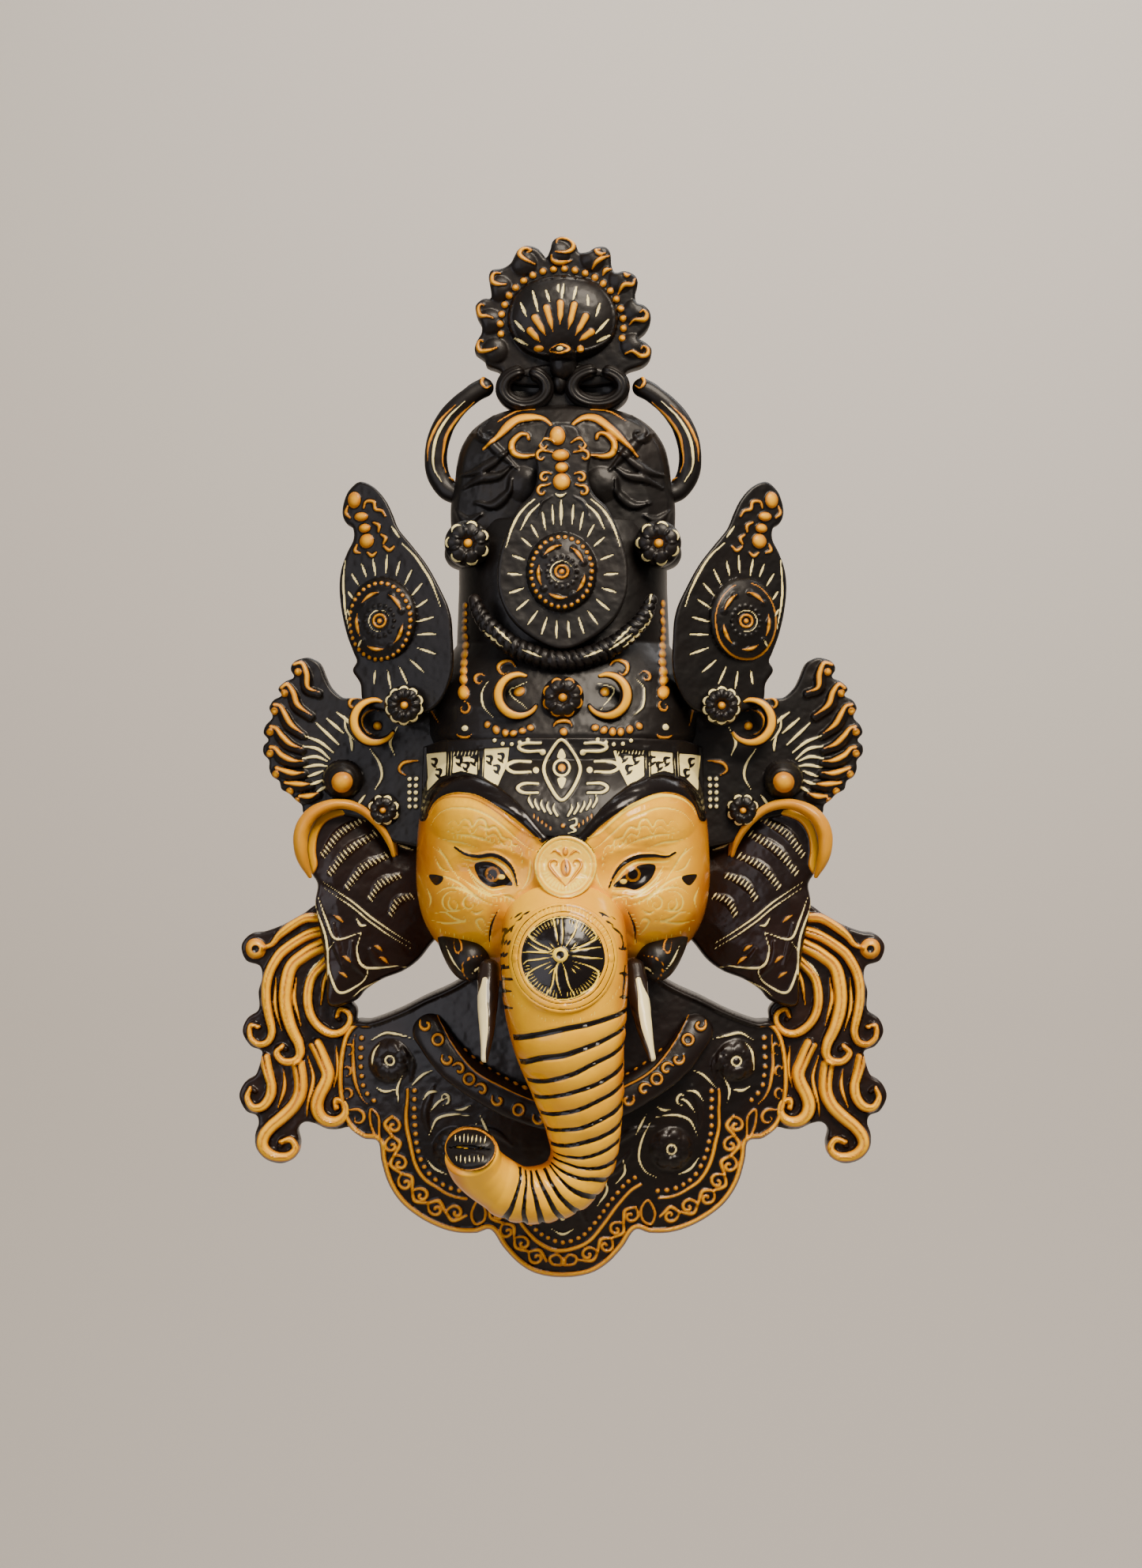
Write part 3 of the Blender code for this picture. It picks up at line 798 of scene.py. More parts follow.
class Relief(Surface):
    """A carved sheet over an outline: a front that is carved, a plain back, and a closed edge."""

    def __init__(
        self, name: str, outline: Path, front: Depth, back: Depth, step: float = 0.55,
        rounding: float = 2.0, rounded_outline: bool = True, seed: int = 0, wobble: float = 0.3,
    ) -> None:
        """Lays out the sheet.

        Args:
            name: The piece's name.
            outline: Its outline.
            front: The depth of its front before it is carved.
            back: The depth of its back.
            step: The distance between its points.
            rounding: The radius of its front edge.
            rounded_outline: True where the outline is a curve through its points.
            seed: Which unevenness it has.
            wobble: How far the hand-made unevenness shifts its carving.
        """
        step *= GRID_SCALE
        self.name, self.front, self.back, self.seed = name, front, back, seed
        loop = curve([*outline, outline[0]])[:-1] if rounded_outline else np.asarray(outline, float)
        self.loop = spaced(np.vstack([loop, loop[:1]]), LOOP_GAP)[:-1]
        low, high = self.loop.min(axis=0), self.loop.max(axis=0)
        xs = np.arange(low[0] - step, high[0] + 2 * step, step)
        zs = np.arange(low[1] - step, high[1] + 2 * step, step)
        keep = self._cells(xs, zs)
        column, row = np.meshgrid(xs, zs, indexing="ij")
        number = np.arange(column.size).reshape(column.shape)
        self.quads = np.column_stack(
            [number[:-1, :-1][keep], number[1:, :-1][keep], number[1:, 1:][keep], number[:-1, 1:][keep]]
        )
        used, self.quads = np.unique(self.quads, return_inverse=True)
        self.quads = self.quads.reshape(-1, 4)
        x, z = column.ravel()[used], row.ravel()[used]
        outside = np.vstack([self.loop, self.loop[:1]])
        self.rim = self._rim_edges()
        on_rim = np.unique(self.rim)
        *_, near_x, near_z = nearest(x[on_rim], z[on_rim], outside)
        x[on_rim] += RIM_PULL * (near_x - x[on_rim])
        z[on_rim] += RIM_PULL * (near_z - z[on_rim])
        self.true_x, self.true_z = x, z
        super().__init__(
            x + wobble * uneven(x, z, seed + 50, 7.0), z + wobble * uneven(x, z, seed + 90, 7.0), step,
        )
        self.inset = nearest(x, z, outside)[0]
        round_off = np.clip(1 - self.inset / rounding, 0.0, 1.0)
        self.rounded = rounding * (1 - np.sqrt(1 - round_off**2)) * 0.85

    def _cells(self, xs: np.ndarray, zs: np.ndarray) -> np.ndarray:
        """Chooses the grid's cells that lie inside the outline.

        Args:
            xs: The grid's x lines.
            zs: The grid's z lines.

        Returns:
            True for each cell that is kept. Two kept cells never touch at one corner only.
        """
        mid_x, mid_z = (xs[:-1] + xs[1:]) / 2, (zs[:-1] + zs[1:]) / 2
        keep = np.zeros((len(mid_x), len(mid_z)), bool)
        starts, ends = self.loop, np.roll(self.loop, -1, axis=0)
        for i, z in enumerate(mid_z):
            hit = (starts[:, 1] > z) != (ends[:, 1] > z)
            a, b = starts[hit], ends[hit]
            crossings = np.sort(a[:, 0] + (z - a[:, 1]) * (b[:, 0] - a[:, 0]) / (b[:, 1] - a[:, 1]))
            keep[:, i] = np.searchsorted(crossings, mid_x) % 2 == 1
        for _ in range(3):
            a, b, c, d = keep[:-1, :-1], keep[1:, :-1], keep[:-1, 1:], keep[1:, 1:]
            b |= a & d & ~b & ~c
            a |= b & c & ~a & ~d
        return keep

    def _rim_edges(self) -> np.ndarray:
        """Finds the edges that only one quad has.

        Returns:
            The edges, each in its quad's direction.
        """
        quads = self.quads
        edges = np.concatenate([quads[:, [0, 1]], quads[:, [1, 2]], quads[:, [2, 3]], quads[:, [3, 0]]])
        size = edges.max() + 1
        forward = edges[:, 0] * size + edges[:, 1]
        backward = edges[:, 1] * size + edges[:, 0]
        return edges[~np.isin(forward, backward)]

    def border(self, inner: float, outer: float, height: float, paint: Paint | None = None) -> None:
        """Raises a band that follows the outline.

        Args:
            inner: The band's near side, measured in from the outline.
            outer: Its far side.
            height: Its height.
            paint: What it is painted with.
        """
        middle, half = (inner + outer) / 2, (outer - inner) / 2
        off = np.abs(self.inset - middle)
        which = np.flatnonzero(off < half + self.step)
        self.lift[which] += np.clip(1 - (off[which] / half) ** 2, 0.0, 1.0) ** 0.5 * height
        self.colour(which, self.edge(half * 0.9 - off[which]), paint)

    def build(
        self, finish: Finish, back_gap: float = 4.0, mirror: bool = False, name: str = "",
    ) -> bpy.types.Object:
        """Makes the piece's mesh.

        Args:
            finish: What it is covered with.
            back_gap: The distance between the points of its back.
            mirror: True to flip it to the mask's other side.
            name: Its name, where that isn't the relief's own.

        Returns:
            The object.
        """
        x, z = self.true_x, self.true_z
        rough = COARSE_GRAIN[0] * uneven(x, z, self.seed, COARSE_GRAIN[1])
        rough = rough + FINE_GRAIN[0] * uneven(x, z, self.seed + 9, FINE_GRAIN[1])
        depth = self.front(x, z) - self.rounded + self.lift + rough * np.clip(self.inset / 2, 0, 1)
        depth = np.maximum(depth, LEAST_DEPTH)
        back_rim = np.clip(self.back(x, z), 0.0, depth - LEAST_EDGE)
        front_points = np.column_stack([x, -depth, z])
        on_rim, local = np.unique(self.rim, return_inverse=True)
        local = local.reshape(-1, 2)
        count = len(x)
        low, high = self.loop.min(axis=0), self.loop.max(axis=0)
        grid_x, grid_z = np.meshgrid(
            np.arange(low[0] + back_gap / 2, high[0], back_gap),
            np.arange(low[1] + back_gap / 2, high[1], back_gap),
        )
        grid_x, grid_z = grid_x.ravel(), grid_z.ravel()
        clear = nearest(grid_x, grid_z, np.vstack([self.loop, self.loop[:1]]))[0]
        keep = inside(grid_x, grid_z, self.loop) & (clear > back_gap * 0.45)
        grid_x, grid_z = grid_x[keep], grid_z[keep]
        flat = [Vector(p) for p in np.column_stack([x[on_rim], z[on_rim]]).tolist()]
        flat += [Vector(p) for p in np.column_stack([grid_x, grid_z]).tolist()]
        verts, _, triangles, origin, *_ = delaunay_2d_cdt(flat, local.tolist(), [], 0, 1e-7)
        spots = np.array([list(v) for v in verts])
        triangles = np.array([list(t) for t in triangles])
        middle = spots[triangles].mean(axis=1)
        triangles = triangles[inside(middle[:, 0], middle[:, 1], self.loop)]
        index = np.full(len(verts), -1)
        extra = []
        for i, sources in enumerate(origin):
            known = [s for s in sources if s < len(on_rim)]
            if known:
                index[i] = count + known[0]
            else:
                index[i] = count + len(on_rim) + len(extra)
                extra.append(spots[i])
        back_points = np.column_stack([x[on_rim], -back_rim[on_rim], z[on_rim]])
        points = [front_points, back_points]
        if extra:
            rest = np.array(extra)
            ahead = self._depth_at(rest, depth)
            rest_depth = np.clip(self.back(rest[:, 0], rest[:, 1]), 0.0, np.maximum(ahead - LEAST_WALL, 0.2))
            points.append(np.column_stack([rest[:, 0], -rest_depth, rest[:, 1]]))
        points = np.vstack(points) * MM
        walls = np.column_stack([self.rim[:, 1], self.rim[:, 0], count + local[:, 0], count + local[:, 1]])
        ends = index[triangles]
        a, b, c = (spots[triangles[:, i]] for i in range(3))
        turn = (b[:, 0] - a[:, 0]) * (c[:, 1] - a[:, 1]) - (b[:, 1] - a[:, 1]) * (c[:, 0] - a[:, 0])
        ends[turn > 0] = ends[turn > 0][:, ::-1]
        faces = [*self.quads.tolist(), *walls.tolist(), *ends.tolist()]
        rest_count = len(points) - count - len(on_rim)
        paint = np.vstack([self.paint, self.paint[on_rim], np.tile(Paint.BLACK.value, (rest_count, 1))])
        shade = np.concatenate([self.shade, self.shade[on_rim], np.zeros(rest_count)])
        if mirror:
            points[:, 0] *= -1
            faces = [face[::-1] for face in faces]
        return mesh_piece(name or self.name, points, faces, paint, shade, finish)

    def _depth_at(self, places: np.ndarray, depth: np.ndarray) -> np.ndarray:
        """Reads the front's depth at places.

        Args:
            places: The places.
            depth: The depth of each of the sheet's points.

        Returns:
            The least depth of the front near each place.
        """
        cell, nothing = 2.0, 1e9
        keys = np.round(np.column_stack([self.true_x, self.true_z]) / cell).astype(int)
        cells: dict[tuple[int, int], float] = {}
        for key, value in zip(map(tuple, keys.tolist()), depth.tolist()):
            cells[key] = min(value, cells.get(key, nothing))
        wanted = np.round(places / cell).astype(int).tolist()
        return np.array([cells.get(tuple(key), nothing) for key in wanted])


class Sweep(Surface):
    """A rod along a path, carved and painted where it faces the viewer."""

    def __init__(
        self, name: str, path: Sequence[tuple[float, float, float, float]], flatness: float = 1.0,
        step: float = 0.7, ends: tuple[float, float] = (1.0, 1.0),
    ) -> None:
        """Lays out the rod.

        Args:
            name: The piece's name.
            path: Its points, as x, z, depth and radius.
            flatness: How far it stands out of the wall, as a share of its width.
            step: The distance between its points.
            ends: How long the rounding of its start and end is, as a share of its radius there.
        """
        self.name = name
        step *= GRID_SCALE
        spine = spaced(curve(path, 0.5), step / 2)
        steps = np.linalg.norm(np.diff(spine[:, :3], axis=0), axis=1)
        travelled = np.concatenate([[0.0], np.cumsum(steps)])
        total = travelled[-1]
        reaches = [max(radius * share, 0.05) for radius, share in zip((spine[0, 3], spine[-1, 3]), ends)]
        # Each end is a quarter of an ellipse in section, with its rings evenly spread over it.
        caps = []
        for reach, radius in zip(reaches, (spine[0, 3], spine[-1, 3])):
            angles = np.linspace(0.02, math.pi / 2, max(5, int(radius * 1.2 / step)), endpoint=False)
            caps.append((reach * (1 - np.cos(angles)), np.sin(angles)))
        middle = np.linspace(reaches[0], total - reaches[1], max(3, round((total - sum(reaches)) / step)))
        along = np.concatenate([caps[0][0], middle, total - caps[1][0][::-1]])
        scale = np.concatenate([caps[0][1], np.ones(len(middle)), caps[1][1][::-1]])
        spine = np.column_stack([np.interp(along, travelled, spine[:, i]) for i in range(4)])
        places, radii = spine[:, :3], spine[:, 3] * scale
        sides = max(10, int(2 * math.pi * spine[:, 3].max() / step * 0.8))
        # The rings' points crowd together on the front, where the carving is.
        turns = 2 * math.pi * np.arange(sides) / sides
        turns = turns + 0.35 * np.cos(turns)
        out = np.array([0.0, 0.0, 1.0])
        rings, normals = [], []
        for i, place in enumerate(places):
            direction = places[min(i + 1, len(places) - 1)] - places[max(i - 1, 0)]
            direction /= np.linalg.norm(direction)
            out = out - direction * out.dot(direction)
            out /= np.linalg.norm(out)
            across = np.cross(direction, out)
            wide, high = np.cos(turns)[:, None] * across, np.sin(turns)[:, None] * out
            rings.append(place + radii[i] * (wide + flatness * high))
            normals.append(flatness * wide + high)
        self.sides, self.rings = sides, len(places)
        self.spots = np.vstack(rings)
        self.normals = np.vstack(normals)
        self.normals /= np.linalg.norm(self.normals, axis=1)[:, None]
        self.along = np.repeat(along, sides)
        self.turn = np.tile(turns, len(places))
        away = np.where(self.normals[:, 2] > -0.15, 0.0, OUT_OF_REACH)
        super().__init__(self.spots[:, 0] + away, self.spots[:, 1], step)

    def bands(
        self, places: Sequence[float], width: float, depth: float, paint: Paint, slant: float = 0.0,
        span: tuple[float, float] = (-9.0, 9.0), strength: float = 1.0,
    ) -> None:
        """Cuts lines round the rod.

        Args:
            places: How far along the rod each line is.
            width: The lines' width.
            depth: How deep they are cut.
            paint: What fills them.
            slant: How far along the rod a line shifts from the front to one side.
            span: The part of the turn that a line covers, in radians from the side.
            strength: How strongly the paint covers.
        """
        for place in places:
            drift = 0.5 * uneven(self.turn * 2, self.along * 0, int(place * 10), 1.0)
            gap = np.abs(self.along - place - slant * np.cos(self.turn) - drift)
            low, high = span[0] + 0.3 * drift, span[1] - 0.3 * drift
            which = np.flatnonzero((gap < width) & (self.turn > low) & (self.turn < high))
            self.lift[which] -= depth * np.clip(1 - (gap[which] / (width / 2)) ** 2, 0.0, 1.0)
            self.colour(which, self.edge(width / 2 - gap[which]) * strength, paint)

    def carved(self) -> np.ndarray:
        """Moves the rod's points by their lift.

        Returns:
            Their x, z and depth.
        """
        rough = 0.12 * uneven(self.along, self.turn * 6, 5, 4.0)
        return self.spots + self.normals * (self.lift + rough * (self.along > 0.5))[:, None]

    def build(self, finish: Finish, mirror: bool = False, name: str = "") -> bpy.types.Object:
        """Makes the rod's mesh.

        Args:
            finish: What it is covered with.
            mirror: True to flip it to the mask's other side.
            name: Its name, where that isn't the rod's own.

        Returns:
            The object.
        """
        spots = self.carved()
        first, last = spots[: self.sides].mean(axis=0), spots[-self.sides :].mean(axis=0)
        spots = np.vstack([spots, first, last])
        spots[:, 2] = np.maximum(spots[:, 2], 0.0)
        points = np.column_stack([spots[:, 0], -spots[:, 2], spots[:, 1]]) * MM
        ring = np.arange(self.sides)
        following = (ring + 1) % self.sides
        faces = []
        for i in range(self.rings - 1):
            near, far = i * self.sides, (i + 1) * self.sides
            faces += np.column_stack([near + ring, near + following, far + following, far + ring]).tolist()
        start, end, top = len(spots) - 2, len(spots) - 1, (self.rings - 1) * self.sides
        faces += np.column_stack([following, ring, np.full(self.sides, start)]).tolist()
        faces += np.column_stack([top + ring, top + following, np.full(self.sides, end)]).tolist()
        if not mirror:
            faces = [face[::-1] for face in faces]
        else:
            points[:, 0] *= -1
        paint = np.vstack([self.paint, self.paint[:1], self.paint[-1:]])
        shade = np.concatenate([self.shade, self.shade[:1], self.shade[-1:]])
        return mesh_piece(name or self.name, points, faces, paint, shade, finish)


# The mask's large forms, in millimetres: the same as those of its solid


def share_of(outline: Path, centre: Point) -> Depth:
    """Measures how far out points lie between a centre and an outline.

    Args:
        outline: The outline.
        centre: The centre.

    Returns:
        A function of x and z that is 0 at the centre and 1 on the outline.
    """
    loop = curve([*outline, outline[0]])[:-1]
    angles = np.arctan2(loop[:, 1] - centre[1], loop[:, 0] - centre[0])
    radii = np.hypot(loop[:, 0] - centre[0], loop[:, 1] - centre[1])
    order = np.argsort(angles)
    angles, radii = angles[order], radii[order]

    def share(x: np.ndarray, z: np.ndarray) -> np.ndarray:
        """Divides each point's radius by the outline's.

        Args:
            x: The points' x.
            z: The points' z.

        Returns:
            The share.
        """
        dx, dz = x - centre[0], z - centre[1]
        return np.hypot(dx, dz) / np.interp(np.arctan2(dz, dx), angles, radii, period=2 * math.pi)

    return share


def level(depth: float) -> Depth:
    """Gives one depth everywhere.

    Args:
        depth: The depth.

    Returns:
        A function of x and z.
    """
    return lambda x, z: np.full(len(x), depth)


def leaning(depth: float, at_x: float, across: float, at_z: float = 0.0, up: float = 0.0) -> Depth:
    """Gives a depth that grows evenly across and up.

    Args:
        depth: The depth at (at_x, at_z).
        at_x: Where it has that depth.
        across: How much it grows for each millimetre to the right.
        at_z: Where it has that depth.
        up: How much it grows for each millimetre up.

    Returns:
        A function of x and z.
    """
    return lambda x, z: depth + (x - at_x) * across + (z - at_z) * up


FACE_HALF = [
    (0, -117), (-26, -118), (-46, -123), (-58, -134), (-62, -150), (-63.5, -166), (-63.5, -182),
    (-60.5, -196), (-54, -207), (-46, -215), (-34, -221), (0, -226),
]
COLLAR_HALF = [
    (0, -353.5), (-11, -352), (-19, -347.5), (-26, -340), (-31.5, -332), (-38, -333.5), (-46, -333.5),
    (-54, -331.5), (-63, -327), (-71, -320.5), (-76.5, -312), (-79.5, -302), (-81, -293.5), (-88, -292),
    (-95.5, -285), (-99, -269.3), (-97.2, -250.2), (-91.7, -241.2), (-84, -240.5), (-72, -236), (-60, -230),
    (-49, -225), (-30, -215), (0, -210),
]
FLAME_OUTLINE = [
    (-106, -190), (-114, -194), (-123, -199), (-131, -202), (-137, -203), (-141, -208), (-139, -214.5),
    (-133, -217), (-132, -222), (-133.5, -228), (-133.5, -236), (-138.5, -240), (-140.5, -246),
    (-137, -252), (-132, -254.5), (-133, -260), (-135, -265), (-139.5, -268), (-142, -274), (-139, -280.5),
    (-134.5, -282.5), (-133.5, -286), (-135, -291), (-134.5, -297), (-130, -302), (-123, -303.5),
    (-117, -300.5), (-115.5, -295), (-116.5, -289), (-113.5, -285.5), (-109, -286), (-103, -288.5),
    (-96, -288), (-88, -284), (-84, -262), (-87, -248), (-90.5, -242), (-90.5, -236), (-94, -231),
    (-98, -222), (-98, -200),
]
EAR_OUTLINE = [
    (-97, -146), (-105, -149), (-110, -155), (-112, -164), (-110, -175), (-107, -181), (-108, -189),
    (-106.5, -199), (-104.5, -210), (-103, -222), (-102, -234), (-91, -232), (-86, -227), (-79, -222.5),
    (-70, -219), (-63, -214), (-56.5, -206), (-46, -196), (-46, -170), (-62, -164), (-76, -158),
    (-86, -149),
]
FAN_OUTLINE = [
    (-105.5, -86), (-103.5, -91), (-101, -95.5), (-96, -99.5), (-88, -100), (-70, -104), (-50, -112),
    (-48, -160), (-72, -163), (-84, -154), (-98, -151), (-112, -151), (-114, -146.5), (-117, -144),
    (-119.5, -141.5), (-123, -139.5), (-124, -136), (-127, -134), (-128.5, -130.5), (-128.5, -127),
    (-131, -124), (-131, -120.5), (-128.8, -118), (-131, -115), (-130, -111.5), (-127, -108),
    (-128.5, -104), (-126.5, -100.5), (-123, -98.5), (-124.5, -95.5), (-121.5, -92.5), (-117.5, -90.5),
    (-119, -87), (-117, -83.5), (-111.5, -82), (-107.5, -83.5),
]
DOME_HALF = [
    (0, 29), (-14, 28), (-28, 25), (-38, 19), (-44, 11), (-46.5, 2), (-47.5, -7), (-49, -15), (-49, -25),
    (-48, -42), (0, -46),
]
CENTRE_LEAF_HALF = [
    (0, 17.5), (-6, 16), (-8.5, 10.5), (-12, 5), (-11, -2), (-11.5, -9), (-14, -14), (-19, -19), (-23, -27),
    (-26.5, -37), (-28, -47), (-27, -57), (-22, -67), (-12, -75.5), (0, -80),
]
SIDE_LEAF = [
    (-88, -6), (-92.5, -9), (-94.8, -13), (-96, -19), (-94.5, -23.5), (-91.3, -26), (-91, -31), (-94, -37),
    (-96.5, -44), (-97.3, -52), (-96.3, -62), (-94, -72), (-91, -80), (-89.5, -84), (-91.3, -88),
    (-88, -93.5), (-84, -104), (-58, -106), (-48, -92), (-47.5, -72), (-49, -62), (-53, -53), (-58.5, -43),
    (-65, -34.5), (-71, -27), (-74, -20), (-77, -14), (-82, -8.5),
]
DRUM_Z = [-150, -128, -116, -104, -90, -76, -50, -32, -22]
DRUM_WIDTH = [50, 56, 61, 62, 57, 47, 46, 46, 42]
DRUM_DEPTH = [58, 66, 66, 62, 56, 49, 45, 42, 38]
TRUNK_PATH = [
    (0.5, -192, 68, 25.7), (0.5, -208, 83, 26.5), (1, -225, 85, 26.2), (2.5, -243, 84, 23.8),
    (6, -262, 80, 19.9), (8.7, -280, 75, 16.3), (8.5, -294, 71, 14.0), (2.5, -305, 70, 12.8),
    (-8.5, -310, 71, 12.1), (-19.5, -309.5, 73, 11.8), (-28.5, -304, 77, 11.5), (-35.5, -297.5, 83, 11.5),
    (-38.5, -289.5, 91, 11.5),
]
BROW = [
    (-60, -151), (-57, -144), (-51, -139), (-43, -137), (-34, -139), (-25, -144), (-16, -151.5), (-8, -160),
]
WALL = 13.0
FACE_SHARE = share_of(whole(FACE_HALF), (0, -168))
COLLAR_SHARE = share_of(whole(COLLAR_HALF), (0, -262))
DOME_SHARE = share_of(whole(DOME_HALF), (0, -8))
EAR_SHARE = share_of(EAR_OUTLINE, (-84, -190))


def face_front(x: np.ndarray, z: np.ndarray) -> np.ndarray:
    """The face before it is carved: a dome that is steep at its rim and flat in the middle.

    Args:
        x: The points' x.
        z: The points' z.

    Returns:
        The depth.
    """
    share = np.clip(FACE_SHARE(x, z), 0.0, 1.0)
    return 30 + 56 * (1 - share**2.2) ** 0.45


def drum_front(x: np.ndarray, z: np.ndarray) -> np.ndarray:
    """The crown's drum: each level is a half oval that is fuller than an ellipse.

    Args:
        x: The points' x.
        z: The points' z.

    Returns:
        The depth.
    """
    width, depth = np.interp(z, DRUM_Z, DRUM_WIDTH), np.interp(z, DRUM_Z, DRUM_DEPTH)
    return 0.5 + depth * (1 - np.clip(np.abs(x) / width, 0.0, 1.0) ** 2.5) ** 0.4


def band_front(x: np.ndarray, z: np.ndarray) -> np.ndarray:
    """The headband: the drum's foot, brought forward over the brow.

    Args:
        x: The points' x.
        z: The points' z.

    Returns:
        The depth.
    """
    foot = 0.5 + 66 * (1 - np.clip(np.abs(x) / 62.5, 0.0, 1.0) ** 2.5) ** 0.4
    return np.maximum(foot, face_front(x, z)) + 1.0


def collar_front(x: np.ndarray, z: np.ndarray) -> np.ndarray:
    """The collar: low at its lobes and rising to the neck.

    Args:
        x: The points' x.
        z: The points' z.

    Returns:
        The depth.
    """
    share = np.hypot(x / 104, (z + 258) / 98)
    return 15 + 22 * (1 - np.clip(share, 0.0, 1.0) ** 1.6)


def dome_front(x: np.ndarray, z: np.ndarray) -> np.ndarray:
    """The crown's back dome.

    Args:
        x: The points' x.
        z: The points' z.

    Returns:
        The depth.
    """
    return np.interp(DOME_SHARE(x, z), [0.2, 0.5, 0.75, 0.93, 1.0], [33, 32, 30, 25, 19])


def ear_front(x: np.ndarray, z: np.ndarray) -> np.ndarray:
    """The left ear: a shallow swelling that leans forward at its outer edge.

    Args:
        x: The points' x.
        z: The points' z.

    Returns:
        The depth.
    """
    swell = np.interp(EAR_SHARE(x, z), [0.2, 0.6, 0.96, 1.0], [24.6, 23.7, 21.0, 19.5])
    return swell - (x + 84) * 0.16


def hollow(x: np.ndarray, z: np.ndarray) -> np.ndarray:
    """The open back: how far the hollows behind the face, crown and collar reach.

    Args:
        x: The points' x.
        z: The points' z.

    Returns:
        The depth of the hollow, 0 where the back lies on the wall.
    """
    inner = 1 - WALL / (0.8 * 63.5)
    face = np.interp(
        FACE_SHARE(x, z) / inner, [0, 0.15, 0.4, 0.68, 0.87, 0.97, 1.0, 1.03],
        [68, 68, 65, 57, 45, 33, 15, 0],
    )
    chest = np.interp(COLLAR_SHARE(x, z), [0, 0.2, 0.5, 0.7, 0.74], [23, 23, 17, 8, 0])
    width, depth = np.interp(z, DRUM_Z, DRUM_WIDTH) - WALL, np.interp(z, DRUM_Z, DRUM_DEPTH) - WALL
    across = np.clip(1 - np.clip(np.abs(x) / width, 0.0, 1.0) ** 2.5, 0.0, 1.0) ** 0.4
    crown = np.where((z < -38) & (z > -148), depth * across, 0.0)
    return np.maximum(np.maximum(face, chest), crown)


def nail_hole(x: np.ndarray, z: np.ndarray) -> np.ndarray:
    """The blind hole for the nail.

    Args:
        x: The points' x.
        z: The points' z.

    Returns:
        Its depth.
    """
    return np.where(np.hypot(x, z - 14) < 3.5, 13.0, 0.0)


# Pieces


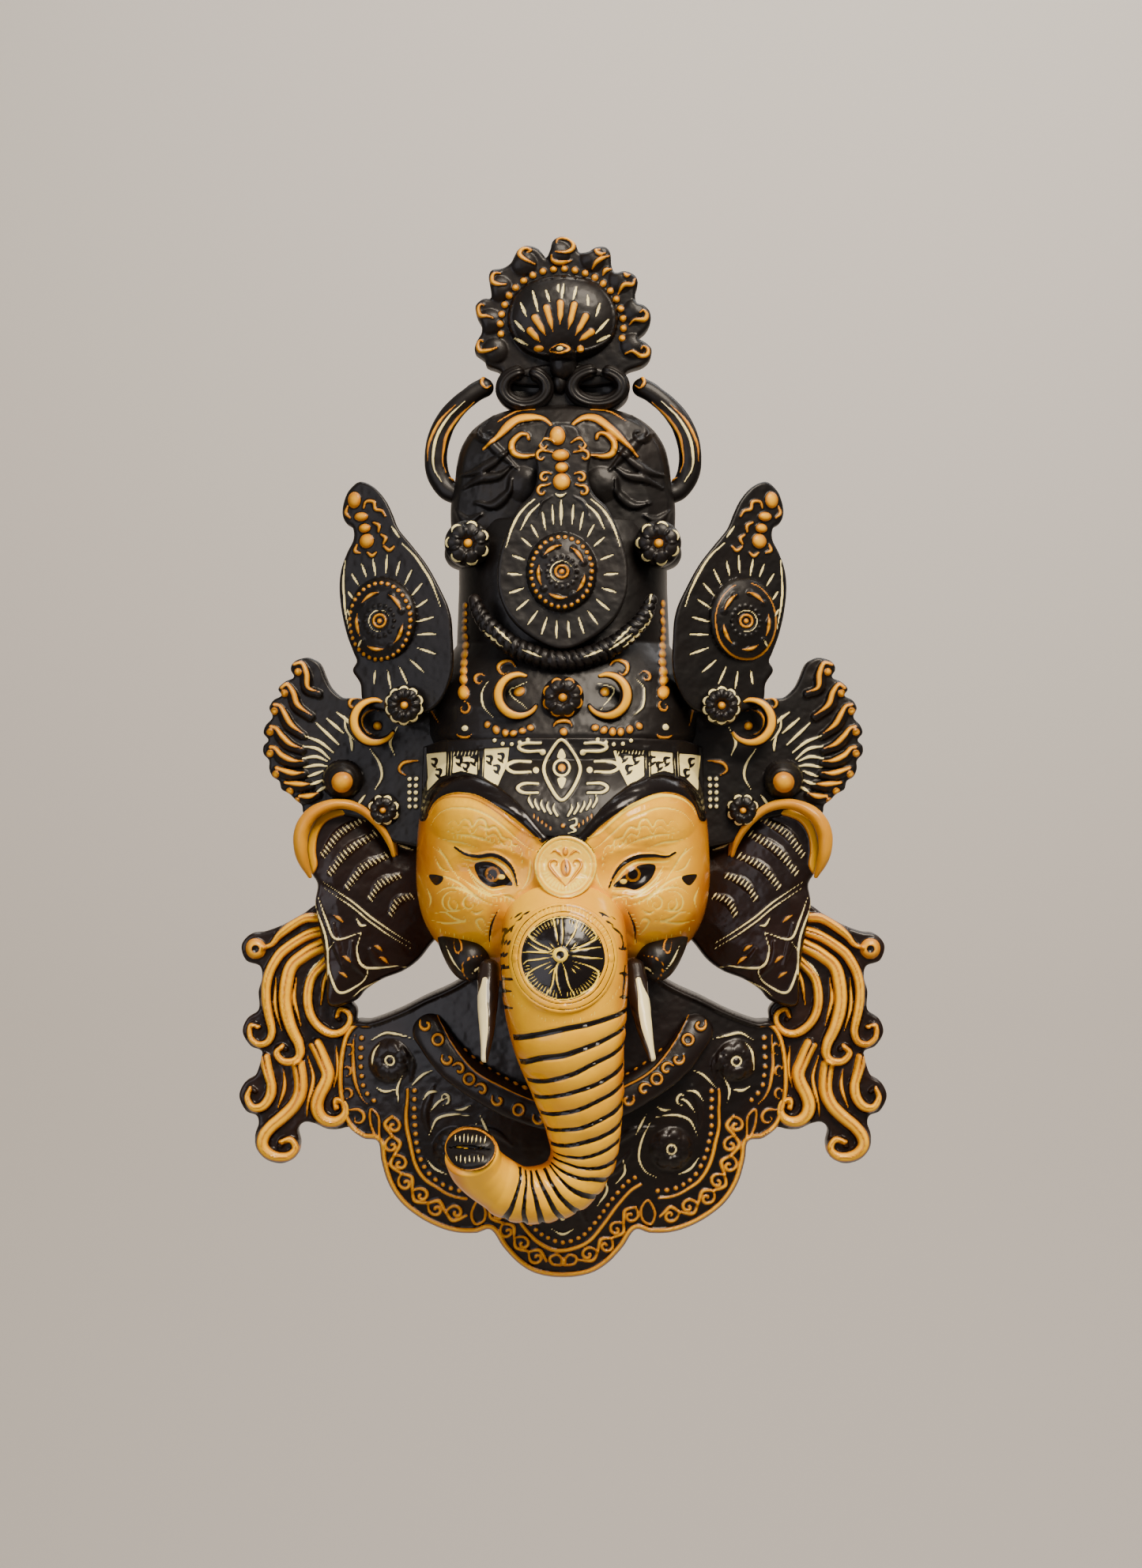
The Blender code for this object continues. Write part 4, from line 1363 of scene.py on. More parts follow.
@dataclass
class Face:
    """The lacquered face, the trunk, the tusks and the lip folds."""

    skin: Finish = FACE_YELLOW
    tooth: Finish = TUSK_CREAM
    dark: Finish = CROWN_BLACK

    def build(self) -> None:
        """Makes the face and what grows from it."""
        sheet = Relief("face", whole(FACE_HALF), face_front, hollow, 0.45, 2.0, seed=1, wobble=0.12)
        self._forms(sheet)
        self._brows(sheet)
        self._eyes(sheet)
        self._cheeks(sheet)
        sheet.build(self.skin, 3.0)
        self._medallion()
        self._trunk()
        self._nose_flower()
        self._tusks()
        self._lips()

    def _forms(self, sheet: Relief) -> None:
        """Swells the brow lobes and cheeks, sinks the eye sockets, and paints shade at the rim and sockets.

        Args:
            sheet: The face's sheet.
        """
        share = FACE_SHARE(sheet.x, sheet.z)
        # Painted shade towards the face's rim, where it turns back to the wall.
        sheet.shade += 0.75 * smooth(0.72, 1.0, share)
        for side in (1, -1):
            sheet.dome((side * -37, -152), 21, 12, 4.0, flat=1.0)
            sheet.dome((side * -43, -190), 20, 16, 4.5, flat=1.0)
            sheet.dome((side * -31, -174), 19, 10, -3.0, flat=1.0)
            # Painted shade in the eye socket, in the crease beside the trunk and beside the trunk's root.
            sheet.paint_shade((side * -31, -174), 19, 11, 0.5)
            sheet.paint_shade((side * -27, -200), 8, 22, 0.8)
            sheet.paint_shade((side * -16, -163), 7, 16, 0.4)

    def _brows(self, sheet: Relief) -> None:
        """Rolls the dark brows over the lobes and engraves the scalloped rows under them.

        Args:
            sheet: The face's sheet.
        """
        for side in (1, -1):
            sheet.ridge(sided(BROW, side), 8.5, 3.0, Paint.BLACK, (0.6, 0.5))
        sheet.fill([*BROW, *flipped(BROW)[::-1], (61, -120), (-61, -120)], Paint.BLACK)
        left = [
            (-57, -149.5), (-54, -145), (-49.5, -142.5), (-44, -142), (-38, -142.5), (-32, -145),
            (-26, -149), (-20.5, -153.8), (-14.5, -158.4), (-9, -160.3),
        ]
        right = [
            (10.5, -159.8), (15.4, -157.6), (21.2, -152.4), (27.4, -147.3), (34, -144.2), (40, -142.2),
            (46, -142.2), (51, -143.7), (54.7, -146.8), (56.8, -150),
        ]
        sheet.ridge(left, 2.4, 0.7, Paint.OCHRE, (0.3, 0.3))
        sheet.ridge(right, 1.8, 0.7, Paint.CREAM, (0.3, 0.3))
        for path in (left, right):
            lower = [(x, z - 2.4) for x, z in path]
            sheet.hatch(lower[1:-1], 2.1, 2.2, 78, 0.45, Paint.CREAM, 0.5)
            lower = [(x * 0.985, z - 5.4) for x, z in path]
            sheet.ridge(lower, 0.9, -0.5, Paint.CREAM)
        scallops = [
            (-49, -154.2), (-46.5, -152.6), (-44.4, -154.6), (-42.3, -152.3), (-39.8, -152.6),
            (-38.1, -155.2), (-35.5, -152), (-33, -152.6), (-31.7, -156), (-28.8, -155.2), (-26.4, -158),
            (-25.4, -159.6), (-22, -160.6), (-21.2, -162.6), (-18.2, -163.5), (-16.8, -167.7),
            (-17.4, -171),
        ]
        for shift, width in ((0.0, 0.9), (3.0, 0.6)):
            for side in (1, -1):
                sheet.ridge([(side * x * 0.99, z - shift) for x, z in scallops], width, -0.5, Paint.CREAM)
        for stroke in (
            [(-53, -160.1), (-47.4, -161.4), (-42, -162), (-35.5, -164.2)],
            [(-55, -164), (-50, -168), (-46.5, -174)], [(-54.6, -167.7), (-51.6, -172.8), (-46.9, -174.5)],
            [(-50, -157), (-44, -158.5), (-38, -159), (-30, -161.5), (-24, -165)],
            [(-14, -165), (-13.6, -172), (-15, -178), (-18.5, -183)],
        ):
            for side in (1, -1):
                sheet.ridge(sided(stroke, side), 0.8, -0.45, Paint.CREAM)
        for side in (1, -1):
            sheet.hatch(sided([(-52, -165), (-48, -171), (-44, -177)], side), 1.8, 2.2, 90 + side * 35, 0.5)
            sheet.hatch(
                sided([(-20, -163.5), (-28, -161), (-36, -159.8), (-46, -159.6)], side), 1.8, 1.5, 90, 0.45,
            )

    def _eyes(self, sheet: Relief) -> None:
        """Carves the lidded eyes.

        Args:
            sheet: The face's sheet.
        """
        lids = (
            [
                (-45.5, -163.9), (-41, -166.6), (-35.5, -167.6), (-29.6, -166.9), (-24.5, -169),
                (-20.7, -173.2), (-19, -179.6),
            ],
            [
                (47.5, -166.2), (43.9, -167.8), (38, -167.3), (31.2, -167.8), (25.3, -170.7),
                (21.5, -175.4), (19.4, -180.4),
            ],
        )
        balls = (
            [
                (-37, -171), (-31.3, -169.8), (-26.2, -172), (-23, -175.8), (-20.9, -179.4), (-25, -179.6),
                (-30, -180.3), (-35, -177),
            ],
            [
                (39, -171.6), (33.8, -170.9), (27.9, -173.3), (24.1, -177), (21.2, -180), (26.2, -180.6),
                (31, -181.3), (37, -177),
            ],
        )
        creases = (
            [
                (-42.5, -168.6), (-36.4, -169.6), (-30.5, -168.8), (-25.4, -171), (-22.2, -174.2),
                (-20, -178.5),
            ],
            [(45, -169.8), (38, -170), (32.1, -169.8), (27, -172.4), (23.2, -176.6), (20.6, -180.4)],
        )
        lows = (
            [(-40.5, -171), (-38, -175.4), (-34.8, -178.6), (-30, -181.4), (-25.4, -181), (-20.6, -181)],
            [(42.5, -171.8), (39.5, -176.4), (35.8, -179.9), (31.2, -182.4), (26.2, -182), (21, -181.9)],
        )
        for lid, ball, crease, low in zip(lids, balls, creases, lows):
            side = math.copysign(1, lid[0][0])
            sheet.dome((side * 30, -175.2), 9, 6, 2.0, flat=0.8)
            sheet.ridge(lid, 3.0, 1.4, None, (0.3, 0.4))
            sheet.line(lid, 1.7, Paint.BLACK)
            sheet.ridge([(x, z - 2.6) for x, z in crease], 1.3, 0.5, None)
            sheet.line(crease, 1.0, Paint.CREAM)
            sheet.fill(ball, Paint.BLACK)
            sheet.dome((side * 29.4, -175.0), 3.6, 3.6, 0.4, Paint.OCHRE, strength=0.55)
            sheet.dome((side * 29.4, -175.0), 1.9, 1.9, 0.1, Paint.BLACK)
            sheet.line(low, 0.9, Paint.CREAM)
            sheet.line([(x * 0.99, z - 2.2) for x, z in low], 0.7, Paint.CREAM)
            sheet.hatch([(x, z - 4.6) for x, z in low[1:]], 1.8, 1.8, 90, 0.45)
        # A painted highlight on each eye: a small raised cream glint. An ochre stroke runs beside it.
        for x, z in ((-25.4, -176), (25.4, -178)):
            sheet.dome((x, z), 1.5, 1.1, 0.3, Paint.CREAM)
            sheet.line([(x - 6, z + 1.4), (x - 4, z + 0.2), (x - 3.4, z - 1.6)], 0.5, Paint.OCHRE)

    def _cheeks(self, sheet: Relief) -> None:
        """Engraves the scrollwork of the cheeks.

        Args:
            sheet: The face's sheet.
        """
        both = (
            [
                (-58, -176.2), (-50.8, -176.2), (-44, -178.7), (-38.1, -183), (-32.2, -186.8),
                (-26.5, -188.5),
            ],
            [
                (-53.3, -183.8), (-49.9, -181.3), (-44.8, -180.8), (-38.9, -183), (-35.5, -186.3),
                (-36.4, -188.9),
            ],
            [(-56.2, -195.2), (-50.8, -196.1), (-44, -195.6), (-38.9, -194.8)],
            [(-55, -192.3), (-49.9, -191.4), (-45.7, -193.9), (-41, -194.8), (-41.9, -192.3)],
            [(-26.2, -189.2), (-29, -193.9), (-30.2, -199), (-30.8, -206)],
            [(-32.1, -197.3), (-33.8, -193.9), (-36.3, -194.8), (-34.6, -198.2), (-32.1, -200.7)],
            [(-41.4, -189.7), (-45.6, -190.6), (-48.1, -188), (-47.3, -183.8)],
            [(-26.2, -183.8), (-22, -184.6), (-19, -186.5)], [(-58, -181), (-56, -186), (-57, -190)],
            [(-33, -190), (-36, -191.5), (-39, -190.5)],
            [(-44, -176), (-38, -180), (-31, -184), (-25, -185.4)],
        )
        for side in (1, -1):
            for stroke in both:
                sheet.ridge(sided(stroke, side), 0.9, -0.5, Paint.CREAM)
            sheet.ridge(
                spiral([(side * -43, -183)], (side * -46.5, -187.6), side * 1.2, 0.6), 0.8, -0.5,
                Paint.CREAM,
            )
            sheet.ridge(
                spiral([(side * -36, -185)], (side * -39, -187.5), side * 1.1, 0.7), 0.8, -0.5, Paint.CREAM,
            )
            sheet.fill(
                [
                    (side * x, z)
                    for x, z in ((-57, -175.8), (-54.1, -180), (-51.2, -178.6), (-50.8, -176.2))
                ],
                Paint.BLACK,
            )
            sheet.hatch(sided([(-54, -199), (-47, -201), (-38, -203)], side), 2.0, 1.6, 90, 0.5)
            sheet.hatch(sided([(-48, -179), (-42, -182), (-37, -186)], side), 1.9, 1.5, 60 * side, 0.5)
            sheet.hatch(sided([(-29, -192), (-31.5, -198), (-32.5, -204)], side), 1.9, 1.8, 0, 0.5)
            sheet.line(sided([(-27.6, -191), (-30, -197), (-31, -204)], side), 0.9, Paint.BLACK)

    def _medallion(self) -> None:
        """Sets the round medallion with its plain leafy device over the trunk's root."""
        centre = (1.2, -171.3)

        def surface(x: np.ndarray, z: np.ndarray) -> np.ndarray:
            """Bends from the brow onto the trunk's root.

            Args:
                x: The points' x.
                z: The points' z.

            Returns:
                The depth.
            """
            down = np.interp(-z, [158, 170, 176, 180, 185], [88.0, 88.8, 91.6, 95.4, 100.0])
            return down - (x - 0.5) ** 2 / 52 * smooth(170.0, 180.0, -z)

        sheet = Relief(
            "medallion", oval(centre, 13.2, 13.2)[:-1], surface, lambda x, z: surface(x, z) - 7, 0.34, 1.4,
            seed=21,
        )
        sheet.dome(centre, 11.0, 11.0, -0.6, flat=0.2)
        sheet.fill(oval(centre, 10.4, 10.4)[:-1], Paint.CREAM, strength=0.42)
        sheet.ridge(oval(centre, 12.4, 12.4), 0.7, -0.3, Paint.CREAM, (1, 1))
        sheet.ridge(oval(centre, 10.8, 10.8), 0.7, -0.3, Paint.CREAM, (1, 1))
        sheet.line(oval(centre, 12.9, 12.9, 25, 130), 0.9, Paint.BLACK)
        sheet.rays(centre, 7.6, 9.8, list(np.arange(200, 341, 9.0)), 0.6, Paint.CREAM)
        for start in (100, 160, 340, 40):
            sheet.line(oval(centre, 8.4, 8.4, start, 34), 0.7, Paint.CREAM)
        for side in (1, -1):
            stem = [(centre[0], -179.5), (centre[0] + side * 3.2, -176), (centre[0] + side * 6, -172.5)]
            sheet.ridge(
                spiral(stem, (centre[0] + side * 4.4, -170.5), side * 0.8, 0.6), 1.3, 0.8, Paint.OCHRE,
            )
            sheet.ridge(
                [
                    (centre[0] + side * 1.2, -167.5), (centre[0] + side * 4, -165),
                    (centre[0] + side * 6, -166),
                ],
                1.1, 0.7, Paint.OCHRE,
            )
        sheet.dome((centre[0], -172), 2.2, 3.6, 1.0, Paint.OCHRE)
        sheet.dome((centre[0], -165.4), 1.2, 1.8, 0.8, Paint.OCHRE)
        sheet.line([(centre[0], -169.5), (centre[0], -175)], 0.5, Paint.BLACK, True)
        sheet.build(self.skin)

    def _trunk(self) -> None:
        """Makes the trunk, which curls up to the viewer's left and opens in a mouth at its tip."""
        rod = Sweep("trunk", TRUNK_PATH, 1.0, 0.68, (0.35, 0.28))
        side_on = np.abs(np.cos(rod.turn))
        # Painted shade on the trunk's sides, where it turns away from the viewer.
        rod.shade += 0.8 * smooth(0.72, 1.0, side_on)
        front = (0.25, math.pi - 0.25)
        places = [
            50.5, 58.5, 66.5, 74.5, 82.5, 90.5, 98, 105, 111.5, 117.5, 123.5, 129.5, 135, 140.5, 146, 151.5,
        ]
        for i, place in enumerate(places):
            rod.bands(
                [place], 1.9, 0.8, Paint.BLACK, 3.2, (-0.3 + 0.2 * (i % 3), math.pi + 0.2 - 0.25 * (i % 2)),
            )
            rod.bands([place + 4.0], 6.4, -0.55, Paint.OCHRE, 3.2, front, 0.0)
            angles = np.arange(0.5 + 0.07 * (i % 2), math.pi - 0.4, 0.13 if place < 100 else 0.19)
            for angle in angles:
                middle = place + 4.2 + 3.2 * math.cos(angle)
                gap = np.hypot((rod.turn - angle) * 16, np.maximum(np.abs(rod.along - middle) - 1.3, 0))
                which = np.flatnonzero(gap < 0.8)
                rod.colour(which, rod.edge(0.28 - gap[which]) * 0.45, Paint.CREAM)
        for side in (1, -1):
            for stroke in (
                [(-16.5, -192), (-21.2, -196.5), (-24.5, -200.5), (-25.4, -206)],
                [(-12, -190), (-17, -191), (-22, -193.4)], [(-26, -212), (-25.6, -219), (-24.8, -226)],
            ):
                rod.line(sided(stroke, side), 0.9, Paint.BLACK)
        for z, reach in (
            (-198.5, 5.5), (-203.5, 6.5), (-208.5, 4.5), (-213.5, 5.0), (-218.5, 6.0), (-223.5, 5.0),
            (-230.5, 5.5),
        ):
            rod.line([(-26.4, z - 0.8), (-24.6, z + 0.4), (-26.4 + reach, z + 0.6)], 1.6, Paint.BLACK)
        for z, reach in ((-205.5, 4.0), (-216, 3.5), (-225.5, 4.0)):
            rod.line([(27.2, z - 0.6), (27.2 - reach, z + 0.6)], 1.4, Paint.BLACK)
        rod.hatch(oval((0.2, -208.7), 26.6, 26, 205, 130), 1.6, 1.4, 90, 0.45)
        rod.build(self.skin)
        self._mouth()

    def _mouth(self) -> None:
        """Makes the mouth at the trunk's tip: a dark slot between two ribbed lips."""
        centre = (-38.4, -289.2)

        def surface(x: np.ndarray, z: np.ndarray) -> np.ndarray:
            """Lies on the trunk's slanting end.

            Args:
                x: The points' x.
                z: The points' z.

            Returns:
                The depth.
            """
            radius = np.hypot((x - centre[0]) / 12.2, (z - centre[1]) / 9.4)
            bulge = 4.4 * (1 - np.sqrt(np.clip(1 - radius**2, 0.0, 1.0)))
            return 92.3 + 0.374 * (x + 38.5) - (z + 289.5) - bulge

        sheet = Relief(
            "trunk_mouth", oval(centre, 10.9, 8.3)[:-1], surface, lambda x, z: surface(x, z) - 7, 0.33, 1.2,
            seed=22,
        )
        sheet.fill(oval(centre, 10.2, 7.6)[:-1], Paint.BLACK)
        sheet.ridge(oval(centre, 10.5, 7.9), 0.8, 0.4, Paint.OCHRE, (1, 1))
        sheet.dome((centre[0], centre[1] + 3.6), 8.4, 3.4, 1.6, flat=0.6)
        sheet.dome((centre[0], centre[1] - 3.8), 8.0, 3.2, 1.4, flat=0.6)
        sheet.ridge([(-47, -289), (-42, -288.4), (-36, -288.4), (-30.4, -289)], 1.8, -2.0, Paint.BLACK)
        for i in range(8):
            across = -44.6 + 1.75 * i
            sheet.line(
                [(across, -286.4), (across - 0.1 + 0.05 * i, -283.2 - 0.06 * (i - 3.5) ** 2)], 0.6,
                Paint.CREAM, True,
            )
        for i in range(7):
            across = -44.2 + 1.85 * i
            sheet.line(
                [(across, -291.2), (across + 0.2, -294.2 + 0.08 * (i - 3) ** 2)], 0.6, Paint.CREAM, True,
            )
        sheet.build(self.dark)

    def _nose_flower(self) -> None:
        """Makes the round flower on the trunk's root: a dark disc of drawn petals inside a bright ring."""
        centre = (0.2, -208.7)

        def surface(x: np.ndarray, z: np.ndarray) -> np.ndarray:
            """Follows the trunk's front a little above it.

            Args:
                x: The points' x.
                z: The points' z.

            Returns:
                The depth.
            """
            front = np.zeros(len(x))
            for at_x, at_z, depth, radius in spaced(curve(TRUNK_PATH[:6]), 1.0):
                room = radius**2 - (x - at_x) ** 2 - (z - at_z) ** 2
                front = np.maximum(front, depth + np.sqrt(np.maximum(room, 0.0)) - 30.0 * (room < 0))
            return front + 1.4

        sheet = Relief(
            "nose_flower", oval(centre, 22.6, 22.6)[:-1], surface, lambda x, z: surface(x, z) - 7, 0.34,
            1.0, seed=20,
        )
        sheet.dome(centre, 17.6, 17.6, -0.7, flat=0.2)
        sheet.fill(oval(centre, 17.1, 17.1)[:-1], Paint.BLACK)
        for radius, width in ((21.1, 0.6), (18.6, 0.6)):
            sheet.ridge(oval(centre, radius, radius), width, -0.4, Paint.BLACK, (1, 1), strength=0.7)
        strokes = (
            [(-0.4, -192.6), (-0.1, -197.9), (-0.6, -204)],
            [(-14.1, -202.2), (-9.1, -205.4), (-4.1, -206.3)],
            [(-16.2, -206.2), (-12.4, -206), (-4.1, -207)],
            [(-16.2, -211.2), (-14.1, -209.5), (-9.1, -209.1), (-4.1, -208.3)],
            [(-7, -223.8), (-4.1, -219.5), (-2.9, -212.8), (-1.6, -210)],
            [(-0.4, -223.6), (-2, -217.8), (-2.3, -212.8), (-1.2, -210)],
            [(5, -223.6), (2.9, -219.5), (1.3, -213.7), (-0.4, -210)],
            [(7.5, -223), (12.5, -220.4), (14.8, -216.1), (14.1, -213.7), (10, -211.6), (4.2, -209.9)],
            [(16.2, -208.8), (10.8, -208.5), (2.5, -207.4)],
            [(15.8, -204.5), (10.8, -204.9), (2.5, -205.8)], [(-4.1, -192.9), (-2.9, -197.1), (-2, -203)],
            [(6.3, -193.7), (4.6, -198.6), (1, -204)],
            [(-12, -221), (-14.6, -217), (-12, -213.4), (-5, -210.4)],
            [(12.4, -196.6), (13.8, -200.6), (9, -203.4), (3, -205)],
            [(-11.4, -196.2), (-13.6, -199.2), (-9.4, -203), (-4, -205.2)],
        )
        for stroke in strokes:
            sheet.line(stroke, 0.75, Paint.CREAM)
        for start, stop in ((28, 82), (98, 150), (192, 262), (278, 345)):
            sheet.rays(centre, 13.4, 16.4, list(np.arange(start, stop, 5.2)), 0.5, Paint.CREAM)
        for angle in (32, 48, 132, 148, 212, 228, 312, 328):
            sheet.rays(centre, 5.2, 8.6, [angle], 0.55, Paint.CREAM)
        hub = (-1, -207.2)
        sheet.dome(hub, 3.2, 3.2, 1.6, Paint.CREAM)
        sheet.dome(hub, 1.6, 1.6, -0.8, Paint.BLACK)
        sheet.line(oval(centre, 16.6, 16.6, 20, 140), 0.5, Paint.CREAM)
        sheet.line(oval(centre, 16.6, 16.6, 200, 140), 0.5, Paint.CREAM)
        sheet.rays(centre, 19.2, 21.0, list(np.arange(15, 166, 5.0)), 0.45, Paint.CREAM)
        for angle in (0, 90, 180, 270):
            sheet.dome(
                (
                    centre[0] + 20 * math.cos(math.radians(angle)),
                    centre[1] + 20 * math.sin(math.radians(angle)),
                ),
                1.5, 1.5, 0.6,
            )
        sheet.build(self.skin)

    def _tusks(self) -> None:
        """Makes the tusks: dark, with a cream blade on the front of each."""
        sizes = [5.0, 4.6, 3.8, 2.6, 1.25]
        left = [
            (-31.5, -212, 66), (-31.3, -222, 74), (-31.3, -232, 81), (-31.5, -243, 87), (-32.5, -253, 91),
        ]
        right = [(30, -212, 66), (31.2, -222, 74), (32.7, -232, 81), (34.8, -243, 87), (37.5, -252.5, 91)]
        for name, path, blade in (
            (
                "tusk_left", left,
                [(-32.6, -219.5), (-34, -229), (-34.2, -239), (-33.6, -247), (-32.8, -253)],
            ),
            ("tusk_right", right, [(31.8, -219.5), (34.2, -229), (36, -238), (37.2, -246), (37.8, -252)]),
        ):
            rod = Sweep(name, [(*place, size) for place, size in zip(path, sizes)], 1.0, 0.4)
            rod.ridge(blade, 6.6, 0.4, Paint.CREAM, (0.35, 0.3), 1.0)
            rod.build(self.tooth)

    def _lips(self) -> None:
        """Makes the dark folds that the tusks grow from."""
        path = [(-51, -201, 43, 3.5), (-46, -206, 55, 6.5), (-40, -211.5, 64, 8.7), (-33.5, -216, 69, 8.7)]
        rod = Sweep("lip_left", path, 1.0, 0.5)
        for stroke, paint in (
            (
                [(-51.6, -200.7), (-48.2, -198.6), (-42.3, -199.6), (-35.5, -203.4), (-30.5, -207)],
                Paint.CREAM,
            ),
            (
                [
                    (-46.1, -204.1), (-45.3, -201.8), (-43.1, -204.1), (-42.7, -207.5), (-44.8, -208.3),
                    (-46.1, -204.1),
                ],
                Paint.OCHRE,
            ),
            (
                [(-34.3, -209.6), (-38.9, -210.4), (-41.9, -213.4), (-41.5, -217.6), (-38.1, -221.4)],
                Paint.OCHRE,
            ),
            ([(-31.3, -215.1), (-35.5, -214.9), (-38.5, -217.6)], Paint.CREAM),
            ([(-49.4, -206), (-46.4, -211.5), (-43, -216)], Paint.CREAM),
        ):
            rod.ridge(stroke, 0.9, 0.3, paint)
        rod.build(self.dark)
        rod.build(self.dark, True, "lip_right")


@dataclass
class Crown:
    """The drum, its headband, the back dome, the leaves and the flowers."""

    finish: Finish = CROWN_BLACK

    def build(self) -> None:
        """Makes the crown."""
        self._drum()
        self._headband()
        self._dome()
        self._centre_leaf()
        self._side_leaves()
        self._swag()
        self._flowers()

    def _drum(self) -> None:
        """Makes the drum with its bead strings and its row of dots."""
        half = [
            (0, -22), (-40, -22), (-45.5, -32), (-46, -50), (-47, -76), (-57, -90), (-62, -104),
            (-61, -116), (-57, -128), (-50, -136), (0, -136),
        ]
        sheet = Relief(
            "crown_drum", whole(half), drum_front, hollow, 0.5, 1.0, rounded_outline=False, seed=2,
            wobble=0.9,
        )
        for side, at in ((-1, -42.5), (1, 43.5)):
            for i in range(10):
                sheet.dome((at, -59 - 3.7 * i), 1.2 + 0.08 * i, 1.6 + 0.05 * i, 1.6, Paint.OCHRE)
            sheet.dome((at, -97.5), 2.6, 3.0, 2.2, Paint.OCHRE)
            sheet.ridge(spiral([(at, -101)], (at, -104), side * 0.9, 1.0), 1.2, 1.0, Paint.OCHRE)
            sheet.ridge(oval((at, -114.5), 3.6, 3.0, 200, 140), 1.5, 1.2, Paint.OCHRE, (0.3, 0.3))
            sheet.dome((at, -112.8), 1.4, 1.4, 1.0, Paint.CREAM)
        big = [
            (-32.3, -112.1), (-28.3, -114.3), (-24.3, -115.3), (-20.7, -115.3), (-17.1, -114.3),
            (-13.5, -112.8),
        ]
        for side in (1, -1):
            sheet.beads(sided(big, side), 1.5, 1.3, Paint.OCHRE)
            sheet.ridge(
                sided([(-31, -92), (-34.5, -97), (-33.5, -103), (-29.5, -109)], side), 0.9, 0.4,
                Paint.CREAM,
            )
            sheet.ridge(
                spiral([(side * -33, -90.5)], (side * -35.5, -92), side * 0.9, 0.8), 1.3, 1.0, Paint.OCHRE,
            )
            sheet.ridge(
                spiral([(side * -20, -87)], (side * -24.5, -88.5), side * 0.85, 1.2), 1.8, 1.3, Paint.OCHRE,
            )
            sheet.dome((side * -18.2, -97.5), 2.0, 2.0, 1.2, Paint.OCHRE)
            sheet.line(sided([(-14.5, -94), (-22, -97), (-15, -106)], side), 0.6, Paint.CREAM)
            sheet.line(sided([(-54, -98), (-57, -104), (-54, -111)], side), 0.9, Paint.OCHRE)
        sheet.ridge(oval((0, -113.5), 4.2, 3.6, 10, 160), 1.8, 1.4, Paint.OCHRE, (0.3, 0.3))
        sheet.dome((0, -114.6), 1.7, 1.7, 1.3, Paint.OCHRE)
        sheet.build(self.finish, 3.0)

    def _headband(self) -> None:
        """Makes the band of panels over the brow, with the third eye between them."""
        top = [(0, -117.5), (-30, -117.5), (-52, -118.5), (-60.5, -121), (-61, -133), (-61.5, -150)]
        sheet = Relief(
            "headband", whole([*top, *BROW[1:-1], (-8, -159), (0, -160)]), band_front, hollow, 0.36, 0.8,
            rounded_outline=False, seed=3, wobble=0.15,
        )
        small = [(-29, -118.8), (-25.5, -120.2), (-21.5, -120.4), (-18.2, -119.6), (-14.8, -118.4)]
        left = [
            (-59, -124.2), (-40, -122.8), (-22.6, -121.8), (-23.5, -129), (-27.5, -138.2), (-34, -133.8),
            (-43, -131.5), (-52, -134), (-58, -140),
        ]
        right = [
            (21.4, -123), (40, -123.4), (59.6, -125), (58, -140), (52, -134), (43, -131.5), (34, -133.8),
            (27.5, -138.2), (23.5, -130),
        ]
        for panel, bars, header in (
            (left, (-48.4, -34.8), (-47.2, -36.2)), (right, (35.8, 48.4), (22.8, 34.6)),
        ):
            sheet.fill(panel, Paint.CREAM, -0.4, False)
            for bar in bars:
                sheet.fill(
                    [(bar - 1.5, -121), (bar + 1.5, -121), (bar + 1.7, -142), (bar - 1.3, -142)],
                    Paint.BLACK, 0.4, False,
                )
                sheet.line([(bar - 0.7, -123.4), (bar - 0.6, -134)], 0.5, Paint.CREAM, True)
                sheet.line([(bar + 0.8, -123.4), (bar + 0.9, -134)], 0.5, Paint.CREAM, True)
            sheet.fill(
                [(header[0], -122.4), (header[1], -122.4), (header[1], -125.4), (header[0], -125.4)],
                Paint.BLACK, 0.0, False,
            )
            sheet.hatch([(header[0] + 0.8, -124), (header[1] - 0.6, -124)], 1.5, 2.2, 70, 0.6, Paint.CREAM)
        for side in (1, -1):
            sheet.beads(sided(small, side), 0.85, 0.7, Paint.CREAM)
            # The panels' carving: strokes and loops that spell nothing.
            for x, z in (
                (-55.5, -128), (-53.2, -132.6), (-44.4, -127.6), (-41.2, -129.6), (-38, -127.4),
                (-31.2, -127), (-28, -131), (-26.2, -126),
            ):
                sheet.line(
                    [(side * (x - 1.2), z + 1.6), (side * (x + 1), z + 1.2), (side * (x + 0.6), z - 1.6)],
                    1.5, Paint.BLACK,
                )
                sheet.line([(side * (x - 1.2), z - 0.4), (side * (x + 1.1), z - 2.2)], 1.2, Paint.BLACK)
            for x, z, width, height in (
                (-14, -121.6, 4.6, 1.7), (-18.6, -129.9, 5.0, 2.2), (-14.6, -138.9, 4.2, 1.9),
            ):
                prong = [
                    (x + width, z + height), (x - width * 0.4, z + height), (x - width, z),
                    (x - width * 0.4, z - height), (x + width, z - height),
                ]
                sheet.ridge(sided(prong, side), 1.5, 0.9, Paint.CREAM, (0.8, 0.8))
            sheet.dome((side * -8.5, -123.8), 1.3, 1.3, 0.8, Paint.CREAM)
            sheet.dome((side * -11.3, -131.3), 1.3, 1.3, 0.8, Paint.CREAM)
            for i in range(5):
                foot = (side * (-2.2 - 2.6 * i), -150.5 + 0.9 * i)
                sheet.ridge(
                    [foot, (foot[0] + side * -1.6, foot[1] + 3.0), (foot[0] + side * -1.2, foot[1] + 5.2)],
                    1.1, 0.5, Paint.CREAM, (0.9, 0.2),
                )
            sheet.hatch(sided([(-5, -155.6), (-12, -150.6)], side), 2.2, 1.6, 90, 0.8, Paint.OCHRE)
